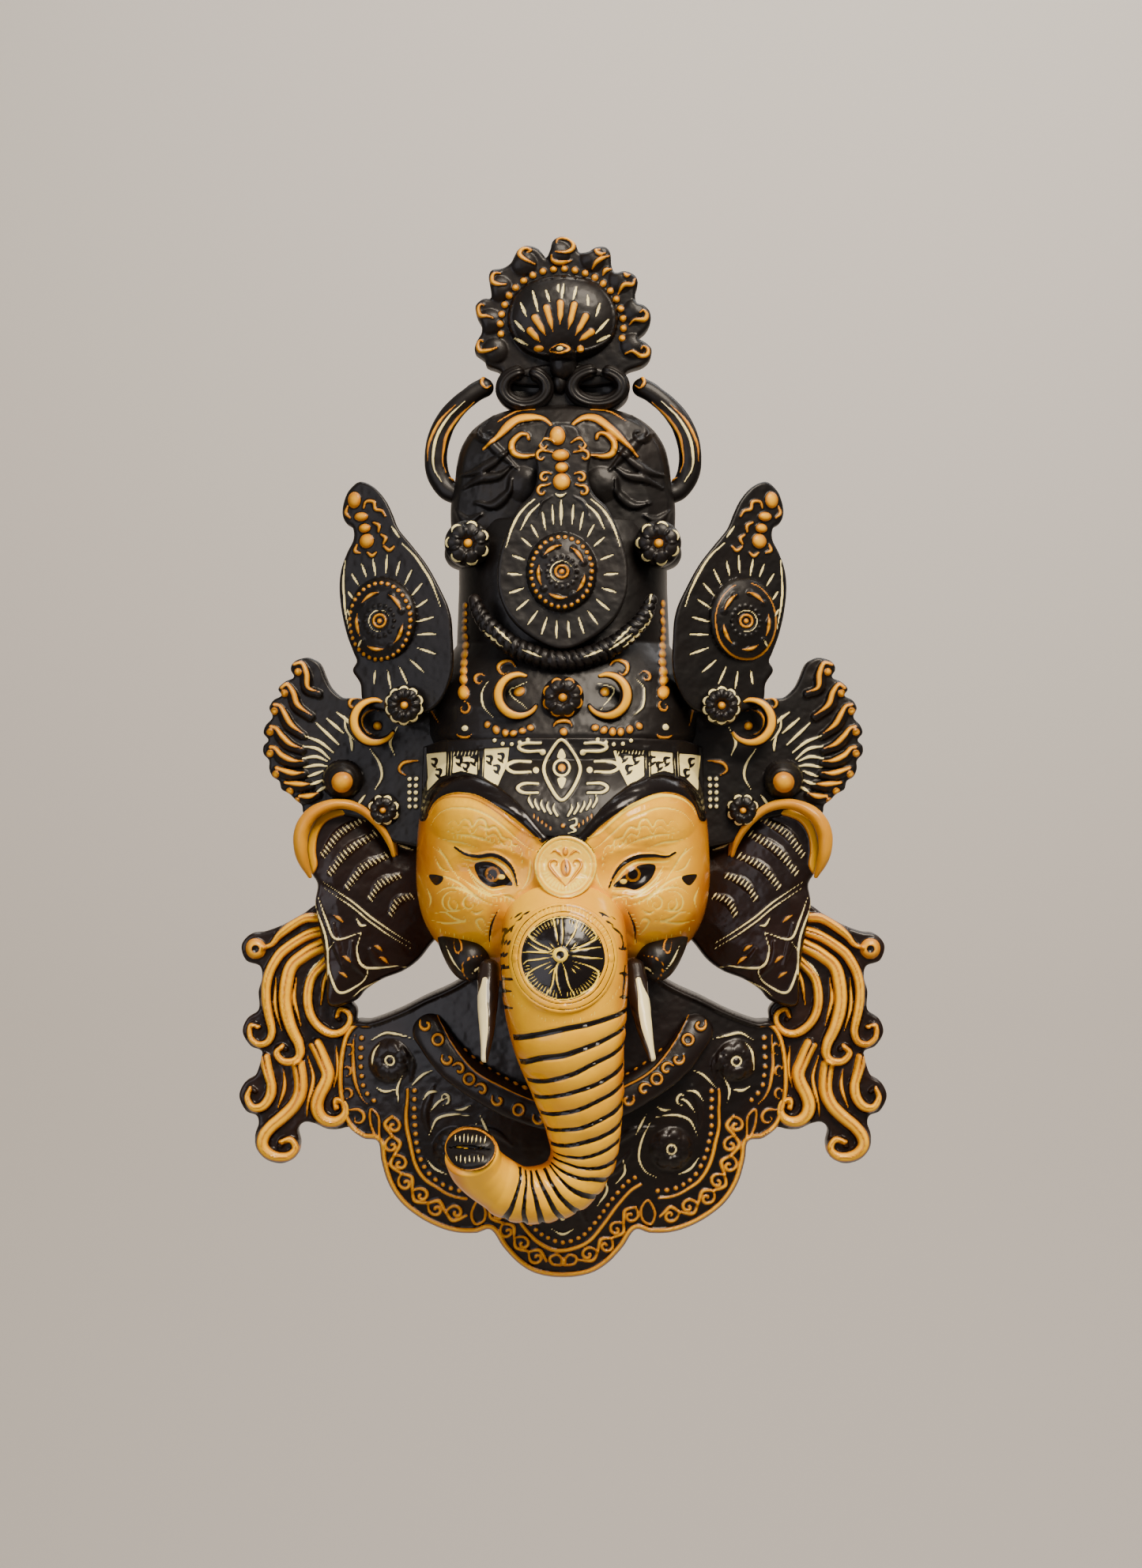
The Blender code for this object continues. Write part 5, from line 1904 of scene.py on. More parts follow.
        almond = [
            (-0.6, -118.4), (-5.4, -124), (-8, -130.8), (-5.2, -138), (-0.4, -144), (4.8, -138),
            (7.4, -130.8), (4.6, -124), (-0.6, -118.4),
        ]
        sheet.ridge(almond, 1.5, 0.9, Paint.CREAM, (0.9, 0.9))
        sheet.dome((-0.5, -130.6), 5.2, 8.0, 1.0, flat=0.8)
        sheet.ridge(oval((-0.5, -130.4), 3.3, 3.3), 1.1, 0.7, Paint.CREAM, (1, 1))
        sheet.dome((-0.5, -130.4), 1.6, 1.6, 0.8, Paint.OCHRE)
        sheet.fill([(-0.6, -122.2), (-2.3, -126), (1.1, -126)], Paint.CREAM)
        sheet.fill([(-0.5, -139), (-2.2, -135), (1.2, -135)], Paint.CREAM)
        # The sign above the medallion: a hooked stroke with a dot, of no script.
        sheet.ridge(
            [(2.6, -152.4), (5.4, -151.6), (5.6, -154), (3.4, -155), (5.4, -156.6), (2.2, -157.8)], 1.1,
            0.6, Paint.CREAM,
        )
        sheet.dome((0.2, -154.6), 0.9, 0.9, 0.6, Paint.OCHRE)
        sheet.build(self.finish, 3.0)

    def _dome(self) -> None:
        """Makes the back dome with its moustache scrolls and the nail hole behind it."""
        sheet = Relief("crown_dome", whole(DOME_HALF), dome_front, nail_hole, 0.5, 2.0, seed=4)
        left = [
            (-34.5, 8.2), (-27.9, 14), (-21.3, 20.7), (-14.6, 22.3), (-8.8, 21.5), (-5.5, 19), (-4.3, 16.1),
        ]
        right = [(3.6, 14.9), (4.5, 19), (8.6, 21.9), (14.4, 21.5), (20.2, 17.3), (26, 11.5), (32.2, 4.9)]
        for stroke in (left, right):
            sheet.ridge(stroke, 4.2, 2.2, Paint.OCHRE, (0.3, 0.3))
        for side in (1, -1):
            curl = [
                (-14.6, 12.4), (-15.5, 14.4), (-18.8, 14.4), (-22.1, 10.7), (-21.3, 6.1), (-17.1, 4.5),
                (-10.5, 5.3),
            ]
            sheet.ridge(sided(curl, side), 3.0, 2.0, Paint.OCHRE, (0.5, 0.4))
            for stroke in (
                [(-44.5, -3.1), (-35.5, -1.1), (-27.7, 4), (-22.6, 7.9)],
                [(-43.2, -8.9), (-35.5, -5), (-27.7, -3.7), (-22.6, 0.2)],
                [(-44.5, 11.8), (-39.3, 20.8), (-30.3, 24.6)],
                [(-38.1, -15.3), (-30.3, -16.6), (-23.9, -11.4), (-22.6, -5)],
                [(-47.1, -17.9), (-41.9, -23), (-35.5, -20.4)], [(-40, 16), (-34, 13), (-28, 7), (-20, -1)],
            ):
                sheet.ridge(sided(stroke, side), 4.4, 2.0, None, (0.3, 0.3))
            sheet.ridge(
                spiral(sided([(-30, 24), (-36, 19)], side), (side * -33, 15), side * 0.9, 0.8), 2.6, 1.8,
                None,
            )
            sheet.dome((side * -17, -7.6), 8, 8, 2.4, flat=0.8)
            sheet.line(sided([(-28, 20.5), (-20, 25.5), (-12, 26)], side), 0.8, Paint.OCHRE)
        sheet.build(self.finish, 2.0)

    def _rosette(self, sheet: Relief, centre: Point, rx: float, rz: float, mirror_lines: bool) -> None:
        """Carves a leaf's rosette: a ringed heart, crescents, beads and an outer ring of beads or dashes.

        Args:
            sheet: The leaf's sheet.
            centre: The rosette's centre.
            rx: The half width of its outer ring.
            rz: The half height of its outer ring.
            mirror_lines: True for a drawn outer ring, False for beads.
        """
        sheet.dome(centre, 4.2, 4.2, -1.0)
        sheet.ridge(oval(centre, 2.6, 2.6), 1.2, 1.2, Paint.OCHRE, (1, 1))
        sheet.dome(centre, 1.1, 1.1, 0.8, Paint.OCHRE)
        sheet.beads(spaced(curve(oval(centre, 6.4, 6.6)), 2.5), 0.75, 0.8, None)
        sheet.line(oval(centre, 4.6, 4.6, 30, 250), 0.5, Paint.CREAM)
        for start in (20, 92, 164, 236, 308):
            sheet.ridge(
                oval(centre, rx * 0.76, rz * 0.74, start, 48), 2.0, 0.9, Paint.OCHRE, (0.2, 0.2), 0.75,
            )
        if mirror_lines:
            sheet.line(oval(centre, rx, rz, 100, 330), 0.9, Paint.OCHRE)
        else:
            sheet.beads(spaced(curve(oval(centre, rx, rz)), 2.9), 0.9, 1.0, Paint.OCHRE)
        for i in range(9):
            angle = math.radians(20 + 40 * i)
            place = (centre[0] + 0.76 * rx * math.cos(angle), centre[1] + 0.76 * rz * math.sin(angle))
            sheet.dome(place, 1.5, 1.5, 1.0)

    def _centre_leaf(self) -> None:
        """Makes the front leaf: knobs at its head, a rosette, and strokes that radiate to its edge."""
        front = leaning(53, 0, 0.0, -30, -0.12)
        sheet = Relief(
            "leaf_centre", whole(CENTRE_LEAF_HALF), front, leaning(42, 0, 0.0, -30, -0.12), 0.38, 1.5,
            seed=5, wobble=0.2,
        )
        sheet.dome((-0.5, -47), 15, 17, 6.0, flat=0.4)
        self._rosette(sheet, (-0.5, -47), 13, 15, False)
        for x, z, rx, rz in (
            (-2.3, 12, 3.3, 4.2), (-1, 3.5, 3.7, 2.5), (-0.5, -1.8, 2.8, 2.3), (-0.5, -8, 3.7, 3.7),
        ):
            sheet.dome((x, z), rx, rz, 2.4, Paint.OCHRE)
        for side in (1, -1):
            for points, heart in (
                ([(-3.5, 9), (-6, 10.6)], (-7.8, 8)), ([(-4.6, 5), (-7, 5.4)], (-9, 3)),
                ([(-5.5, -9), (-7.5, -9.6)], (-8.6, -12)), ([(-5, -4.5), (-6.8, -4)], (-7.6, -6.2)),
            ):
                sheet.ridge(
                    [(side * x, z) for x, z in spiral(points, heart, 0.75, 0.8)], 1.5, 1.2, Paint.OCHRE,
                    (0.5, 0.6),
                )
            sheet.draw(
                [
                    sided([(-12, -15.5), (-17, -20), (-21.4, -27), (-24.4, -36)], side),
                    sided([(-10, -17.5), (-14.5, -22), (-18, -28.5)], side),
                ],
                0.9,
            )
            for x1, z1, x2, z2 in (
                (-4.5, -18, -4, -26), (-8.6, -21, -7.4, -28.4), (-13.4, -26.4, -10.6, -31.6),
                (-17.6, -32, -13.4, -35.6), (-21.4, -39.6, -16, -41.6), (-23.4, -47.6, -17.6, -48),
                (-22.6, -55.6, -16.6, -53.8), (-19.6, -63, -14.4, -58.6), (-14.6, -69, -10.8, -63.4),
                (-9, -73.2, -6.8, -66.4), (-2.8, -75, -2.4, -67.6),
            ):
                sheet.line([(side * x1, z1), (side * x2, z2)], 0.9, Paint.CREAM, True)
            sheet.ridge(sided([(-4.5, -14), (-9, -17), (-11, -23)], side), 1.3, 0.6, None)
        sheet.line([(-0.6, -16), (-0.6, -26.5)], 1.2, Paint.CREAM, True)
        sheet.ridge([(-3, -13.2), (-1, -14.2), (1.4, -13.2)], 1.3, 1.0, Paint.CREAM)
        sheet.build(self.finish)

    def _side_leaves(self) -> None:
        """Makes the side leaves."""
        for name, drawn, mirror in (("leaf_left", False, False), ("leaf_right", True, True)):
            front, back = leaning(38, -73, 0.5), leaning(27, -73, 0.5)
            sheet = Relief(name, SIDE_LEAF, front, back, 0.42, 1.5, seed=6 + drawn, wobble=0.2)
            sheet.dome((-78, -66), 15, 18, 6.0, flat=0.4)
            self._rosette(sheet, (-79, -67), 13.5, 16.5, drawn)
            for x, z, rx, rz in (
                (-90.6, -14, 2.9, 3.6), (-87.5, -21.3, 3.0, 2.0), (-86, -26.4, 2.6, 2.0),
                (-85, -32, 3.2, 3.2),
            ):
                sheet.dome((x, z), rx, rz, 2.2, Paint.OCHRE)
            for stroke in (
                [(-86.4, -17.5), (-85.4, -15), (-82, -15.2), (-81.2, -18.2), (-78.2, -19), (-76.6, -21.4)],
                [(-78.6, -29.4), (-76.6, -31), (-77.6, -33.4)],
                [(-93.6, -16.6), (-94.4, -19.4), (-92.4, -21.6)],
                [(-89.4, -33.4), (-90.2, -36), (-88, -37)], [(-84.6, -37), (-82.6, -38.6), (-80.8, -37.2)],
                [(-77.4, -34.6), (-75, -36.4), (-73, -34.8)], [(-82, -24), (-79.6, -25.4), (-79.8, -28)],
            ):
                sheet.ridge(stroke, 1.6, 1.1, Paint.OCHRE, (0.6, 0.6))
            sheet.draw(
                [
                    [(-69.5, -33.5), (-63, -39.8), (-58.6, -46.6), (-55, -54), (-52.4, -61)],
                    [(-94.8, -40), (-95.4, -50), (-94.8, -60), (-93, -70)], [(-70.5, -31), (-74, -26)],
                ],
                0.9,
            )
            for x1, z1, x2, z2 in (
                (-87.3, -42, -85, -47.5), (-82.3, -40, -81, -47), (-91.7, -46, -88.5, -51),
                (-93.4, -53.5, -91, -57), (-93.6, -61.5, -92.2, -64.5), (-76, -38.5, -76.4, -46),
                (-70.5, -41, -72, -47.5), (-65, -45, -68, -51), (-60.5, -51, -65, -56),
                (-58, -58, -63.4, -61.5), (-55.6, -65.6, -63, -67.6), (-54.6, -73, -62.4, -73),
                (-54.6, -81.6, -62.6, -78.6), (-60, -89, -66, -83.6), (-67, -94, -70.4, -86.6),
                (-74.4, -96, -75.8, -88), (-82, -94, -81.4, -88), (-88.6, -77.6, -87, -75),
            ):
                sheet.line([(x1, z1), (x2, z2)], 0.9, Paint.CREAM, True)
            sheet.build(self.finish, mirror=mirror)

    def _swag(self) -> None:
        """Makes the garland under the front leaf."""
        half = [(-39, -56, 46, 2.5), (-33, -68, 50, 3.9), (-20, -79, 54, 4.5), (0, -85, 57, 4.5)]
        path = [*half, *[(-x, z, d, r) for x, z, d, r in half[-2::-1]]]
        rod = Sweep("swag", path, 1.0, 0.5)
        rod.bands(np.arange(6, rod.along.max() - 4, 3.4), 1.2, 0.9, Paint.BLACK, 1.0)
        for side in (1, -1):
            rod.draw(
                [
                    sided([(-34, -72), (-26, -79)], side), sided([(-29, -70), (-22, -77)], side),
                    sided([(-17, -80), (-9, -83.4)], side),
                ],
                0.9,
            )
        rod.draw([[(39, -50), (37, -60)], [(37, -63), (38, -67), (33, -72)], [(30, -73), (20, -80)]], 0.9)
        rod.build(self.finish)

    def _flowers(self) -> None:
        """Makes the flower bosses and crescents that stand off the crown."""
        for name, centre, depth, radius, petals, tip in (
            ("flower_band_centre", (0, -100.5), 62, 9.0, 8, Paint.OCHRE),
            ("flower_band_left", (-68, -103.5), 44, 8.6, 10, Paint.CREAM),
            ("flower_band_right", (68, -103.5), 44, 8.6, 10, Paint.CREAM),
            ("flower_crown_left", (-41, -33.5), 38, 10.0, 7, Paint.CREAM),
            ("flower_crown_right", (41, -33.5), 38, 10.0, 7, Paint.CREAM),
            ("flower_ear_left", (-78, -148.5), 27, 7.0, 8, Paint.CREAM),
            ("flower_ear_right", (78, -148.5), 27, 7.0, 8, Paint.CREAM),
        ):
            sheet = Relief(
                name, oval(centre, radius, radius)[:-1], level(depth + 3), level(depth - 8), 0.33, 1.0,
            )
            sheet.dome(centre, radius, radius, 2.4, flat=0.9)
            sheet.flower(centre, radius, petals, tip, Paint.OCHRE)
            sheet.build(self.finish)
        for x, z, depth, radius in ((-18.5, -99.5, 63, 8.6), (-81, -110, 34, 9.0)):
            arc = [
                (
                    x + radius * math.cos(math.radians(a)), z + radius * math.sin(math.radians(a)), depth,
                    0.8 + 2 * s,
                )
                for a, s in zip(range(65, 336, 27), [math.sin(math.pi * i / 10) for i in range(11)])
            ]
            for side, mirror in (("left", False), ("right", True)):
                rod = Sweep(f"moon_{side}_{int(-x)}", arc, 1.6, 0.4)
                rod.line(oval((x, z), radius + 0.2, radius + 0.2, 74, 250), 3.6, Paint.OCHRE)
                rod.build(self.finish, mirror)


@dataclass
class Top:
    """The sun disc on its double ring, and the two hanging loops."""

    finish: Finish = CROWN_BLACK

    def build(self) -> None:
        """Makes them."""
        self._disc()
        self._rings()
        self._loops()

    def _disc(self) -> None:
        """Makes the petalled disc with its shell."""
        left = [
            (0, 102.5), (-4.3, 100.7), (-5.6, 96.5), (-7.3, 93.2), (-8.9, 94.9), (-11.4, 97.4), (-16, 98.5),
            (-19.8, 96.5), (-22.7, 91.1), (-26.5, 88.6), (-31.1, 87.8), (-32.5, 84.8), (-31.9, 80.6),
            (-31.5, 75.6), (-34.9, 75.2), (-38.2, 72.3), (-37.8, 68.1), (-35.7, 63.9), (-35.7, 60.1),
            (-37.8, 56.4), (-38.6, 52.2), (-34.5, 48.8), (-33.2, 45.9), (-27.3, 43.4), (-24, 38), (0, 36),
        ]
        right = [
            (24, 38), (27.9, 43.4), (34.6, 45.9), (37.9, 48.8), (38.8, 53), (36.3, 56), (32.9, 58),
            (36.3, 61.4), (38.4, 65.6), (37.9, 69.8), (35.4, 72.3), (32.1, 73.5), (31.7, 78.1),
            (32.8, 82.3), (31.2, 85.7), (27.1, 87.2), (22.9, 86.5), (21.2, 89.9), (20.8, 94.9),
            (18.7, 97.8), (14.5, 97.8), (11.2, 95.7), (7, 95.7), (5.3, 99.4),
        ]
        sheet = Relief("sun_disc", [*left, *right], level(18), level(4), 0.42, 2.0, seed=8, wobble=0.2)
        shell = [
            (-23.2, 63.9), (-21.1, 74.8), (-13.1, 81.5), (-0.6, 84), (12.8, 82.3), (21.2, 74), (22.9, 63.9),
            (18.7, 55.5), (6.1, 50.5), (-7.3, 49.7), (-17.3, 53), (-23.2, 63.9),
        ]
        sheet.dome((0, 66), 24, 19, 10.0, flat=0.45)
        sheet.ridge(shell, 1.6, 1.0, None, (1, 1))
        sheet.dome((0, 46.5), 6, 8, 8.0, flat=0.35)
        beads = [
            (-0.5 + 27 * math.cos(math.radians(a)), 63 + 25 * math.sin(math.radians(a)))
            for a in range(-12, 193, 10)
        ]
        sheet.beads(beads, 1.5, 1.6, Paint.OCHRE)
        for angle in (-18, 10, 38, 66, 94, 122, 150, 178, 202):
            c, s = math.cos(math.radians(angle)), math.sin(math.radians(angle))
            sheet.dome((32 * c, 64 + 31 * s), 5.6, 5.6, 2.4, flat=0.8)
        scrolls = [
            [(-5.2, 94), (-4.7, 91.5), (-1.4, 90.5), (3.6, 91.7)],
            [(-3.1, 99.5), (-2.2, 101.4), (1.5, 101.6), (4.3, 99.8), (4.2, 97), (1.1, 95.3), (-3.5, 95.3)],
            [
                (-15.6, 95.3), (-13.9, 96.4), (-16.5, 97.2), (-18.6, 96.2), (-18.8, 94), (-16.5, 91.9),
                (-12.3, 89.9),
            ],
            [(-27.3, 86.2), (-29.8, 86.2), (-31, 84.8), (-30.9, 82.3), (-28.2, 81.1), (-24.8, 81.1)],
            [(-34.5, 72.3), (-36.1, 72.6), (-37, 70.6), (-36.2, 67.7), (-33.2, 67.3), (-30.7, 66.4)],
            [(-34.9, 56.4), (-36.1, 57), (-37.2, 55.1), (-36.2, 52.2), (-32.4, 52.2), (-29, 53.4)],
            [(16.2, 96.6), (14.5, 95.9), (16.2, 94.3), (18.4, 95)],
            [(20.2, 93.6), (17.9, 92.8), (14.9, 90.7), (12.8, 87.8)],
            [(17.4, 85.2), (18.7, 87.3), (21.2, 87.8)], [(26.6, 86), (27.9, 84.8), (29.2, 85.2)],
            [(31.4, 83.6), (30.4, 81.1), (26.6, 80.6), (24.1, 76.9)],
            [(33.8, 68.9), (35.2, 70), (36.7, 68.1), (35.4, 65.6), (31.2, 65.6), (29.2, 63.9)],
            [(34.2, 53), (35.4, 54.4), (37.3, 53), (36.7, 50.4), (33.8, 49.9), (30.4, 51.8), (27.1, 50.9)],
        ]
        sheet.raise_all(scrolls, 2.2, 1.3)
        for x1, z1, x2, z2 in (
            (-14.3, 59.9, -10.1, 55.3), (-12.2, 65.5, -7.6, 57.8), (-7.2, 69.9, -4.5, 59.5),
            (-1.2, 72, -1.2, 62.4), (4.9, 71.1, 2.4, 60.3), (9.9, 66.1, 5.3, 57.8), (12.4, 59.5, 6.8, 55.3),
        ):
            sheet.ridge([(x1, z1), (x2, z2)], 2.8, 0.8, Paint.OCHRE, (1.2, 0.15), straight=True)
        for x1, z1, x2, z2 in (
            (-21.2, 57.4, -15.5, 54.2), (-20.9, 64.7, -16.8, 59.9), (-18.4, 72.4, -15.9, 66.3),
            (-13, 77.4, -10.9, 68.2), (-7.2, 77.8, -5.7, 72.6), (-2, 80.3, -1.9, 77),
            (0.3, 80.5, -0.5, 74.1), (5.7, 79.5, 4.5, 73.6), (10.7, 75.5, 10.9, 70.8),
            (16.1, 72.1, 14.4, 66.5), (19.9, 65, 14.4, 59.1), (20.4, 58.6, 14.6, 55.4),
        ):
            sheet.line([(x1, z1), (x2, z2)], 1.1, Paint.CREAM, True)
        sheet.ridge(
            [(-5.9, 51.6), (-1.8, 53.7), (2.8, 51.6), (-1.4, 49.5), (-5.9, 51.6)], 1.4, 0.8, Paint.OCHRE,
        )
        sheet.dome((-1.4, 51.6), 1.5, 1.0, 0.8, Paint.CREAM)
        sheet.dome((7.5, 52), 1.6, 1.6, 1.2, Paint.OCHRE)
        sheet.dome((-10.6, 52.4), 2.2, 1.4, 1.0, Paint.OCHRE)
        sheet.build(self.finish)

    def _rings(self) -> None:
        """Makes the coiled double ring that carries the disc."""
        bridge = Relief("ring_bridge", oval((0, 35), 29, 12)[:-1], level(19), level(0), 0.5, 2.0, seed=9)
        for x in (-16.6, 15):
            bridge.dome((x, 35.8), 8, 5.4, -6.0, flat=0.4)
        bridge.dome((-1.5, 38), 3.4, 5.0, 4.0)
        bridge.build(self.finish)
        for name, centre, rx, rz in (
            ("ring_left", (-16.6, 35.6), 9.6, 7.2), ("ring_right", (15, 36.2), 11, 7.2),
        ):
            rod = Sweep(name, [(x, z, 20, 3.4) for x, z in oval(centre, rx, rz, 90, 350)], 1.2, 0.5)
            for radius in (0.72, 1.0, 1.26):
                rod.ridge(oval(centre, rx * radius, rz * radius), 1.0, -0.5, Paint.BLACK, (1, 1))
            rod.build(self.finish)

    def _loops(self) -> None:
        """Makes the hanging loops, each with painted stripes and a curled end."""
        loop = [
            (-31, 39, 11, 4.4), (-41, 33, 12, 4.2), (-50, 24, 12, 4.6), (-55, 13, 12, 5.0),
            (-55.5, 1, 12, 5.0), (-51, -8, 13, 4.6), (-44, -11, 15, 4.2),
        ]
        for side, mirror in (("left", False), ("right", True)):
            rod = Sweep(f"loop_{side}", loop, 0.9, 0.45)
            for stroke, paint in (
                ([(-47, 29), (-54, 21.5), (-58.6, 12), (-59.4, 3.9)], Paint.OCHRE),
                (
                    [(-43, 30.4), (-50.2, 23.4), (-55.2, 15), (-56.8, 7.2), (-56.4, 0.6), (-53, -5)],
                    Paint.CREAM,
                ),
                (
                    [(-39, 30.4), (-46, 23.6), (-50.8, 16.3), (-52.4, 9.8), (-52.8, 3.9), (-51.4, -0.7)],
                    Paint.OCHRE,
                ),
            ):
                rod.ridge(stroke, 1.4, 0.6, paint)
            for stroke in (
                [(-30, 42), (-34.2, 41.6), (-35.6, 38.6), (-33.6, 36.4), (-31.6, 37.6)],
                [(-50, -3), (-46.4, -5), (-45.8, -8.4)],
            ):
                rod.ridge(stroke, 1.5, 0.7, Paint.OCHRE)
            rod.build(self.finish, mirror)


@dataclass
class Wings:
    """The side fans, the ears and the shoulder flames."""

    fan: Finish = CROWN_BLACK
    ear: Finish = EAR_BROWN
    flame: Finish = FLAME_BROWN

    def build(self) -> None:
        """Makes them."""
        self._fans()
        self._ears()
        self._flames()

    def _fans(self) -> None:
        """Makes the fans: petals that end in beads, round a dark boss."""
        sheet = Relief(
            "fan_left", FAN_OUTLINE, leaning(22, -110, 0.15), leaning(8, -110, 0.15), 0.45, 1.5, seed=10,
            wobble=0.2,
        )
        petals = (
            ([(-106.5, -98), (-111.5, -96), (-112, -90), (-114, -85.4), (-117.6, -86)], (-115.4, -88.3)),
            ([(-110, -108), (-116, -103.5), (-118, -98), (-120.6, -94.6), (-123.2, -96)], (-121.5, -97.5)),
            (
                [(-113.5, -116), (-119, -112), (-122, -107), (-124, -104), (-126.6, -103.4)],
                (-126.2, -105.5),
            ),
            (
                [(-114, -122.5), (-119, -120.5), (-123, -117), (-125.6, -113.6), (-128, -112.8)],
                (-128, -114.5),
            ),
            (
                [(-113.5, -128), (-118, -127.8), (-123, -125.6), (-126, -122.6), (-128.2, -122)],
                (-128, -124),
            ),
            ([(-113, -133), (-117.5, -133.2), (-122.6, -132), (-125.6, -131)], (-125.6, -133)),
            ([(-110, -138), (-114, -138.2), (-118.4, -137.8), (-121.6, -137.4)], (-119.4, -140.4)),
            ([(-107, -142), (-111, -143.4), (-115.4, -143.4)], (-116.4, -144.8)),
        )
        for path, bead in petals:
            sheet.ridge(path, 5.2, 2.2, None, (0.8, 0.5))
            sheet.ridge([(x + 0.4, z + 0.9) for x, z in path], 2.6, 0.8, Paint.OCHRE, (0.2, 0.6))
            sheet.dome(bead, 1.7, 1.7, 1.6, Paint.OCHRE)
        for x1, z1, x2, z2, x3, z3 in (
            (-103, -108.5, -99, -112, -95.5, -115), (-107.5, -110.5, -103, -115, -97.5, -120),
            (-112.5, -116, -106, -119, -100, -123.5), (-113.5, -120.5, -107, -122, -101.5, -126.5),
            (-113.5, -126, -108, -125.3, -103, -127.2), (-113, -130, -107, -129, -103, -129.5),
            (-111, -134, -107, -132.5, -104.6, -131.5), (-110, -137.5, -107, -136.5, -104.6, -135.5),
            (-107, -140.5, -104.5, -139, -103, -138.5), (-98.5, -106, -94, -109.4, -91, -113),
            (-93, -116, -92, -119.6, -92, -123),
        ):
            sheet.ridge([(x1, z1), (x2, z2), (x3, z3)], 1.4, 0.4, Paint.CREAM, (0.5, 0.5))
        centre = (-96, -135.5)
        sheet.dome(centre, 8.6, 8.6, 11.0, flat=0.4)
        sheet.ridge(oval(centre, 6.6, 6.6), 1.2, -0.6, Paint.BLACK, (1, 1))
        sheet.dome((-95.5, -136.5), 4.6, 4.6, 2.2, Paint.OCHRE)
        sheet.ridge(oval((-82, -110.5), 5.4, 5.4, 60, 230), 1.3, 0.8, Paint.OCHRE, (0.3, 0.3))
        sheet.ridge([(-94.6, -106), (-94.5, -113), (-90, -119)], 1.0, 0.4, Paint.CREAM)
        sheet.ridge(spiral([(-87, -102)], (-90.6, -102.6), 0.9, 0.9), 1.6, 1.0, Paint.OCHRE)
        sheet.ridge([(-62.8, -127), (-69, -128), (-71, -131), (-68, -133.4)], 1.5, 0.9, Paint.OCHRE)
        sheet.dome((-80.6, -112), 1.8, 1.8, 1.2, Paint.OCHRE)
        for x in (-66.6, -63.8):
            sheet.beads([(x, -135 - 3.0 * i) for i in range(5)], 0.9, 0.8, Paint.CREAM)
        for stroke in (
            [(-84, -122), (-80, -128), (-79, -134), (-82, -140)], [(-72, -112), (-75, -119), (-73, -125)],
            [(-86, -142), (-90, -147)],
        ):
            sheet.ridge(stroke, 1.2, 0.4, Paint.CREAM)
        sheet.build(self.fan)
        sheet.build(self.fan, mirror=True, name="fan_right")

    def _ears(self) -> None:
        """Makes the ears with their rolled rims, hatching and drawn petals."""
        sheet = Relief("ear_left", EAR_OUTLINE, ear_front, level(12), 0.45, 1.5, seed=11, wobble=0.25)
        crescent = [
            (-110, -177), (-111.4, -168), (-110.6, -159), (-107.6, -152.6), (-101, -148.6), (-93, -148.4),
            (-86, -150.4), (-80, -154.4), (-73.4, -161), (-72.4, -168.4), (-75.6, -163.6), (-80, -156.9),
            (-85, -152.4), (-91, -150.6), (-97, -151), (-103, -153.5), (-106.4, -158.5), (-107.6, -166),
            (-107, -173),
        ]
        sheet.fill(crescent, Paint.OCHRE, 1.2)
        for ends in (
            ((-104.6, -168), (-87, -152.4)), ((-101.5, -176), (-82, -159)), ((-94, -182), (-77, -168.4)),
            ((-84, -187), (-71.5, -177)), ((-75, -194), (-66, -186)),
        ):
            (x1, z1), (x2, z2) = ends
            middle = ((x1 + x2) / 2 - 1.6, (z1 + z2) / 2 + 1.6)
            sheet.ridge([ends[0], middle, ends[1]], 4.4, 0.9, None, (0.5, 0.5))
            sheet.hatch([ends[0], middle, ends[1]], 1.9, 3.4, 128, 0.65, Paint.CREAM)
        for width, shift in ((0.9, 0.0), (0.8, 2.4)):
            sheet.ridge(
                [(-104, -180 - shift), (-93, -187.6 - shift), (-81, -197 - shift), (-66, -207 - shift)],
                width, 0.5, Paint.CREAM,
            )
        petals = (
            [(500, 75), (545, 200), (600, 300), (735, 270)],
            [(735, 265), (715, 370), (760, 460), (930, 455), (1000, 465)],
            [(590, 315), (550, 400), (605, 590), (720, 560), (770, 490), (745, 440)],
            [(480, 40), (485, 130), (540, 290), (555, 450), (540, 565)],
            [(685, 625), (760, 570), (900, 515), (1000, 470)], [(705, 185), (735, 230), (775, 225)],
        )
        for stroke in petals:
            places = [(-146.3 + 0.0794 * cx, -180.6 - 0.0794 * cy) for cx, cy in stroke]
            sheet.ridge([(x, z) for x, z in places], 1.1, 0.5, Paint.CREAM)
        for cx, cy in ((615, 190), (830, 355), (660, 415), (640, 500), (860, 420)):
            x, z = -146.3 + 0.0794 * cx, -180.6 - 0.0794 * cy
            sheet.ridge([(x - 2, z + 1.4), (x, z + 0.4), (x + 1.8, z - 1.4)], 1.5, 0.6, Paint.OCHRE)
        for stroke in (
            [(-100, -198), (-99, -207), (-96, -216)], [(-92, -206), (-91, -214), (-86, -221)],
            [(-84, -209), (-80, -215), (-74, -217)],
        ):
            sheet.ridge(stroke, 3.6, 1.2, None, (0.4, 0.4))
        sheet.ridge([(-73, -163), (-70, -164.4), (-65, -166)], 1.0, 0.5, Paint.CREAM)
        sheet.build(self.ear)
        sheet.build(self.ear, mirror=True, name="ear_right")
        rim = [
            (-109.5, -178, 28, 0.8), (-113, -169, 31, 2.6), (-113.5, -159, 32, 3.2),
            (-109, -150.5, 32, 3.0), (-99, -146, 31, 2.4), (-89, -147.5, 30, 2.0), (-81, -154, 28, 1.8),
            (-76, -161.5, 26, 1.4), (-73.5, -169, 24, 0.8),
        ]
        rod = Sweep("ear_rim_left", rim, 1.6, 0.5)
